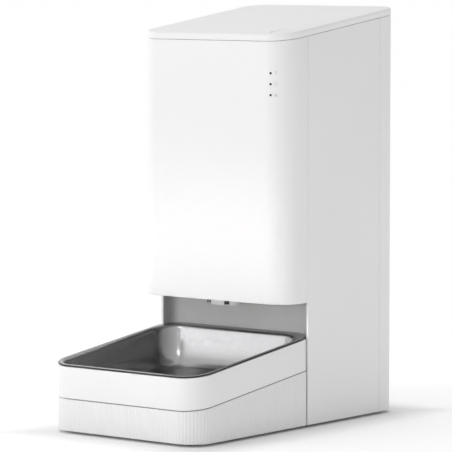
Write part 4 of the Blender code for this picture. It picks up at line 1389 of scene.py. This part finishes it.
@dataclass
class Electrics(Assembly):
    """The boards, the battery bay with its cells and door, and the power inlet."""

    def build(self) -> None:
        """Models and dresses the electrics."""
        self.keep(BOARD_GREEN, "main_board")
        self.keep(LENS_BLACK, "battery_bay")
        for number in (1, 2, 3):
            self.cell(number).dress(CELL_SLEEVE, "feeder", f"battery_{number}")
        self.door().dress(SHELL_WHITE, "battery_door", "battery_door")
        self.inlet().dress(LENS_BLACK, "feeder", "dc_socket")

    def cell(self, number: int) -> Workpiece:
        """One D cell: a sleeve rolled over at both ends, with its positive button."""
        low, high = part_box(f"battery_{number}")
        r, length = (high.x - low.x) / 2, high.z - low.z
        profile = [(0, 0), (r - 2 * MM, 0), (r - 1.6 * MM, 0.4 * MM), (r - 0.6 * MM, 0.4 * MM), (r, MM),
                   (r, length - 3 * MM), (r - 0.8 * MM, length - 2 * MM), (r - 3 * MM, length - 2 * MM),
                   (r - 3.4 * MM, length - 2.4 * MM), (4.8 * MM, length - 2.4 * MM),
                   (4.8 * MM, length - 0.4 * MM), (4.4 * MM, length), (0, length)]
        base = ((low.x + high.x) / 2, (low.y + high.y) / 2, low.z)
        return Workpiece.turned(f"d_cell_{number}", profile, base, sides=64).smooth()

    def door(self) -> Workpiece:
        """The battery door with grip grooves."""
        low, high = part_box("battery_door")
        door = Workpiece.block("battery_cover", low, high).soften(0.5 * MM, 3)
        for number in range(5):
            y, z = high.y + 0.7 * MM, high.z - (10 + 3 * number) * MM
            door.cut(Workpiece.rod("groove", (-14 * MM, y, z), (14 * MM, y, z), 1.3 * MM, 24))
        return door.smooth()

    def inlet(self) -> Workpiece:
        """The round power inlet: a collar, a deep bore and its centre pin."""
        low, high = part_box("dc_socket")
        x, z = (low.x + high.x) / 2, (low.z + high.z) / 2
        profile = [(0, -17), (5, -17), (5, -0.3), (4.7, 0), (3.7, 0), (3.2, -0.5), (3.2, -14), (1.05, -14),
                   (1.05, -3.2), (0.7, -2.6), (0, -2.5)]
        points = [(r * MM, h * MM) for r, h in profile]
        return Workpiece.turned("power_inlet", points, (x, high.y, z), (0, 1, 0)).smooth()


# ---------------------------------------------------------------- studio

@dataclass(frozen=True)
class Lamp:
    """A soft area light.

    Attributes:
        name: the light's name.
        place: where it hangs.
        aim: the point it faces.
        size: its width and height.
        power: its power in watts.
        spread: the full angle of its beam, in degrees.
    """

    name: str
    place: tuple[float, float, float]
    aim: tuple[float, float, float]
    size: tuple[float, float]
    power: float
    spread: float

    def hang(self) -> None:
        """Adds the light to the scene."""
        clear_selection()
        bpy.ops.object.light_add(type="AREA", location=self.place)
        lamp = bpy.context.object
        lamp.name = self.name
        lamp.data.shape = "RECTANGLE"
        lamp.data.size, lamp.data.size_y = self.size
        lamp.data.energy = self.power
        lamp.data.spread = math.radians(self.spread)
        lamp.rotation_euler = (Vector(self.aim) - Vector(self.place)).to_track_quat("-Z", "Y").to_euler()


@dataclass
class Studio:
    """The plain floor, the lights and the camera.

    Attributes:
        sky_low, sky_high: the surround's strength away from and towards its bright side.
        bright_side: the direction of that side.
        floor_grey: the floor's shade.
        floor_glow: the floor's own glow, which keeps it pale far away.
        painted_shadow_reach: how far from the feeder that glow is full; it fades to none under the feeder,
            which paints a darker shadow round it.
        lamps: the soft lights.
    """

    sky_low: float = 0.4
    sky_high: float = 1.24
    bright_side: tuple[float, float, float] = (-0.92, -0.39, 0)
    floor_grey: float = 0.93
    floor_glow: float = 0.235
    painted_shadow_reach: float = 0.05
    lamps: Sequence[Lamp] = (
        Lamp("pool", (-0.9, -1.9, 1.35), (0, -0.03, 0.15), (0.5, 0.5), 0.034, 14),
        Lamp("low_front", (-0.6, -2.4, 0.35), (0, -0.05, 0.14), (0.2, 0.1), 0.026, 5),
        Lamp("bowl_glint", (-1.335, -1.8, 1.0), (-0.05, 0.011, 0.05), (0.16, 1.2), 2.4, 180))

    def build(self) -> None:
        """Sets up the studio."""
        self.lay_floor()
        self.light_sky()
        for lamp in self.lamps:
            lamp.hang()
        self.place_camera()

    def lay_floor(self) -> None:
        """A wide, pale floor that glows, with a painted shadow: the glow fades out near the feeder."""
        clear_selection()
        bpy.ops.mesh.primitive_plane_add(size=400)
        floor = bpy.context.object
        floor.name = "studio_floor"
        bench = NodeBench("studio_floor")
        bench.shader.inputs["Specular IOR Level"].default_value = 0
        grey = self.floor_grey
        bench.tint(bench.noise(2), (grey * 0.998,) * 3, (grey,) * 3)
        bench.shader.inputs["Roughness"].default_value = 0.9
        bench.shader.inputs["Emission Color"].default_value = (1, 1, 1, 1)
        # Painted shadow: the glow grows with the distance beyond the feeder's footprint and is zero under
        # it, so the floor round the feeder is darker.
        spot = bench.node("ShaderNodeVectorMath", operation="ABSOLUTE")
        bench.link(bench.place, spot.inputs[0])
        beyond = bench.node("ShaderNodeVectorMath", operation="SUBTRACT")
        bench.link(spot.outputs["Vector"], beyond.inputs[0])
        beyond.inputs[1].default_value = (HALF, -TRAY_Y, 0)
        sides = bench.node("ShaderNodeSeparateXYZ")
        bench.link(beyond.outputs["Vector"], sides.inputs["Vector"])
        distance = bench.node("ShaderNodeMath", operation="MAXIMUM")
        bench.link(sides.outputs["X"], distance.inputs[0])
        bench.link(sides.outputs["Y"], distance.inputs[1])
        fade = bench.node("ShaderNodeMapRange", interpolation_type="SMOOTHSTEP")
        fade.inputs["From Max"].default_value = self.painted_shadow_reach
        fade.inputs["To Max"].default_value = self.floor_glow
        bench.link(distance.outputs["Value"], fade.inputs["Value"])
        bench.link(fade.outputs["Result"], bench.shader.inputs["Emission Strength"])
        floor.data.materials.append(bench.material)

    def light_sky(self) -> None:
        """A white surround that is brighter on one side."""
        world = bpy.data.worlds.new("studio")
        bpy.context.scene.world = world
        world.use_nodes = True
        nodes, links = world.node_tree.nodes, world.node_tree.links
        facing = nodes.new("ShaderNodeVectorMath")
        facing.operation = "DOT_PRODUCT"
        facing.inputs[1].default_value = Vector(self.bright_side).normalized()
        links.new(nodes.new("ShaderNodeTexCoord").outputs["Generated"], facing.inputs[0])
        fade = nodes.new("ShaderNodeMapRange")
        fade.inputs["From Min"].default_value = -1
        fade.inputs["To Min"].default_value = self.sky_low
        fade.inputs["To Max"].default_value = self.sky_high
        links.new(facing.outputs["Value"], fade.inputs["Value"])
        background = nodes["Background"]
        background.inputs["Color"].default_value = (1, 1, 1, 1)
        links.new(fade.outputs["Result"], background.inputs["Strength"])

    def place_camera(self) -> None:
        """A long lens from the front right, a little above."""
        clear_selection()
        turn = (math.pi / 2 - 0.0852, 0, 0.6682)
        bpy.ops.object.camera_add(location=(1.7912, -2.2719, 0.4229), rotation=turn)
        camera = bpy.context.object
        camera.data.sensor_width = 36
        camera.data.lens = 258.255
        camera.data.clip_end = 600
        camera.data.dof.use_dof = False
        bpy.context.scene.camera = camera
        bpy.context.scene.view_settings.view_transform = "Standard"
        bpy.context.scene.view_settings.look = "None"


def main() -> None:
    """Builds the feeder and its studio."""
    logging.basicConfig(level=logging.INFO, format="%(name)s %(message)s")
    for assembly in (Casing(), StatusLights(), Tray(), Lid(), Dosing(), Electrics()):
        LOG.info("-- %s", type(assembly).__name__)
        assembly.build()
    Studio().build()


if __name__ == "__main__":
    main()
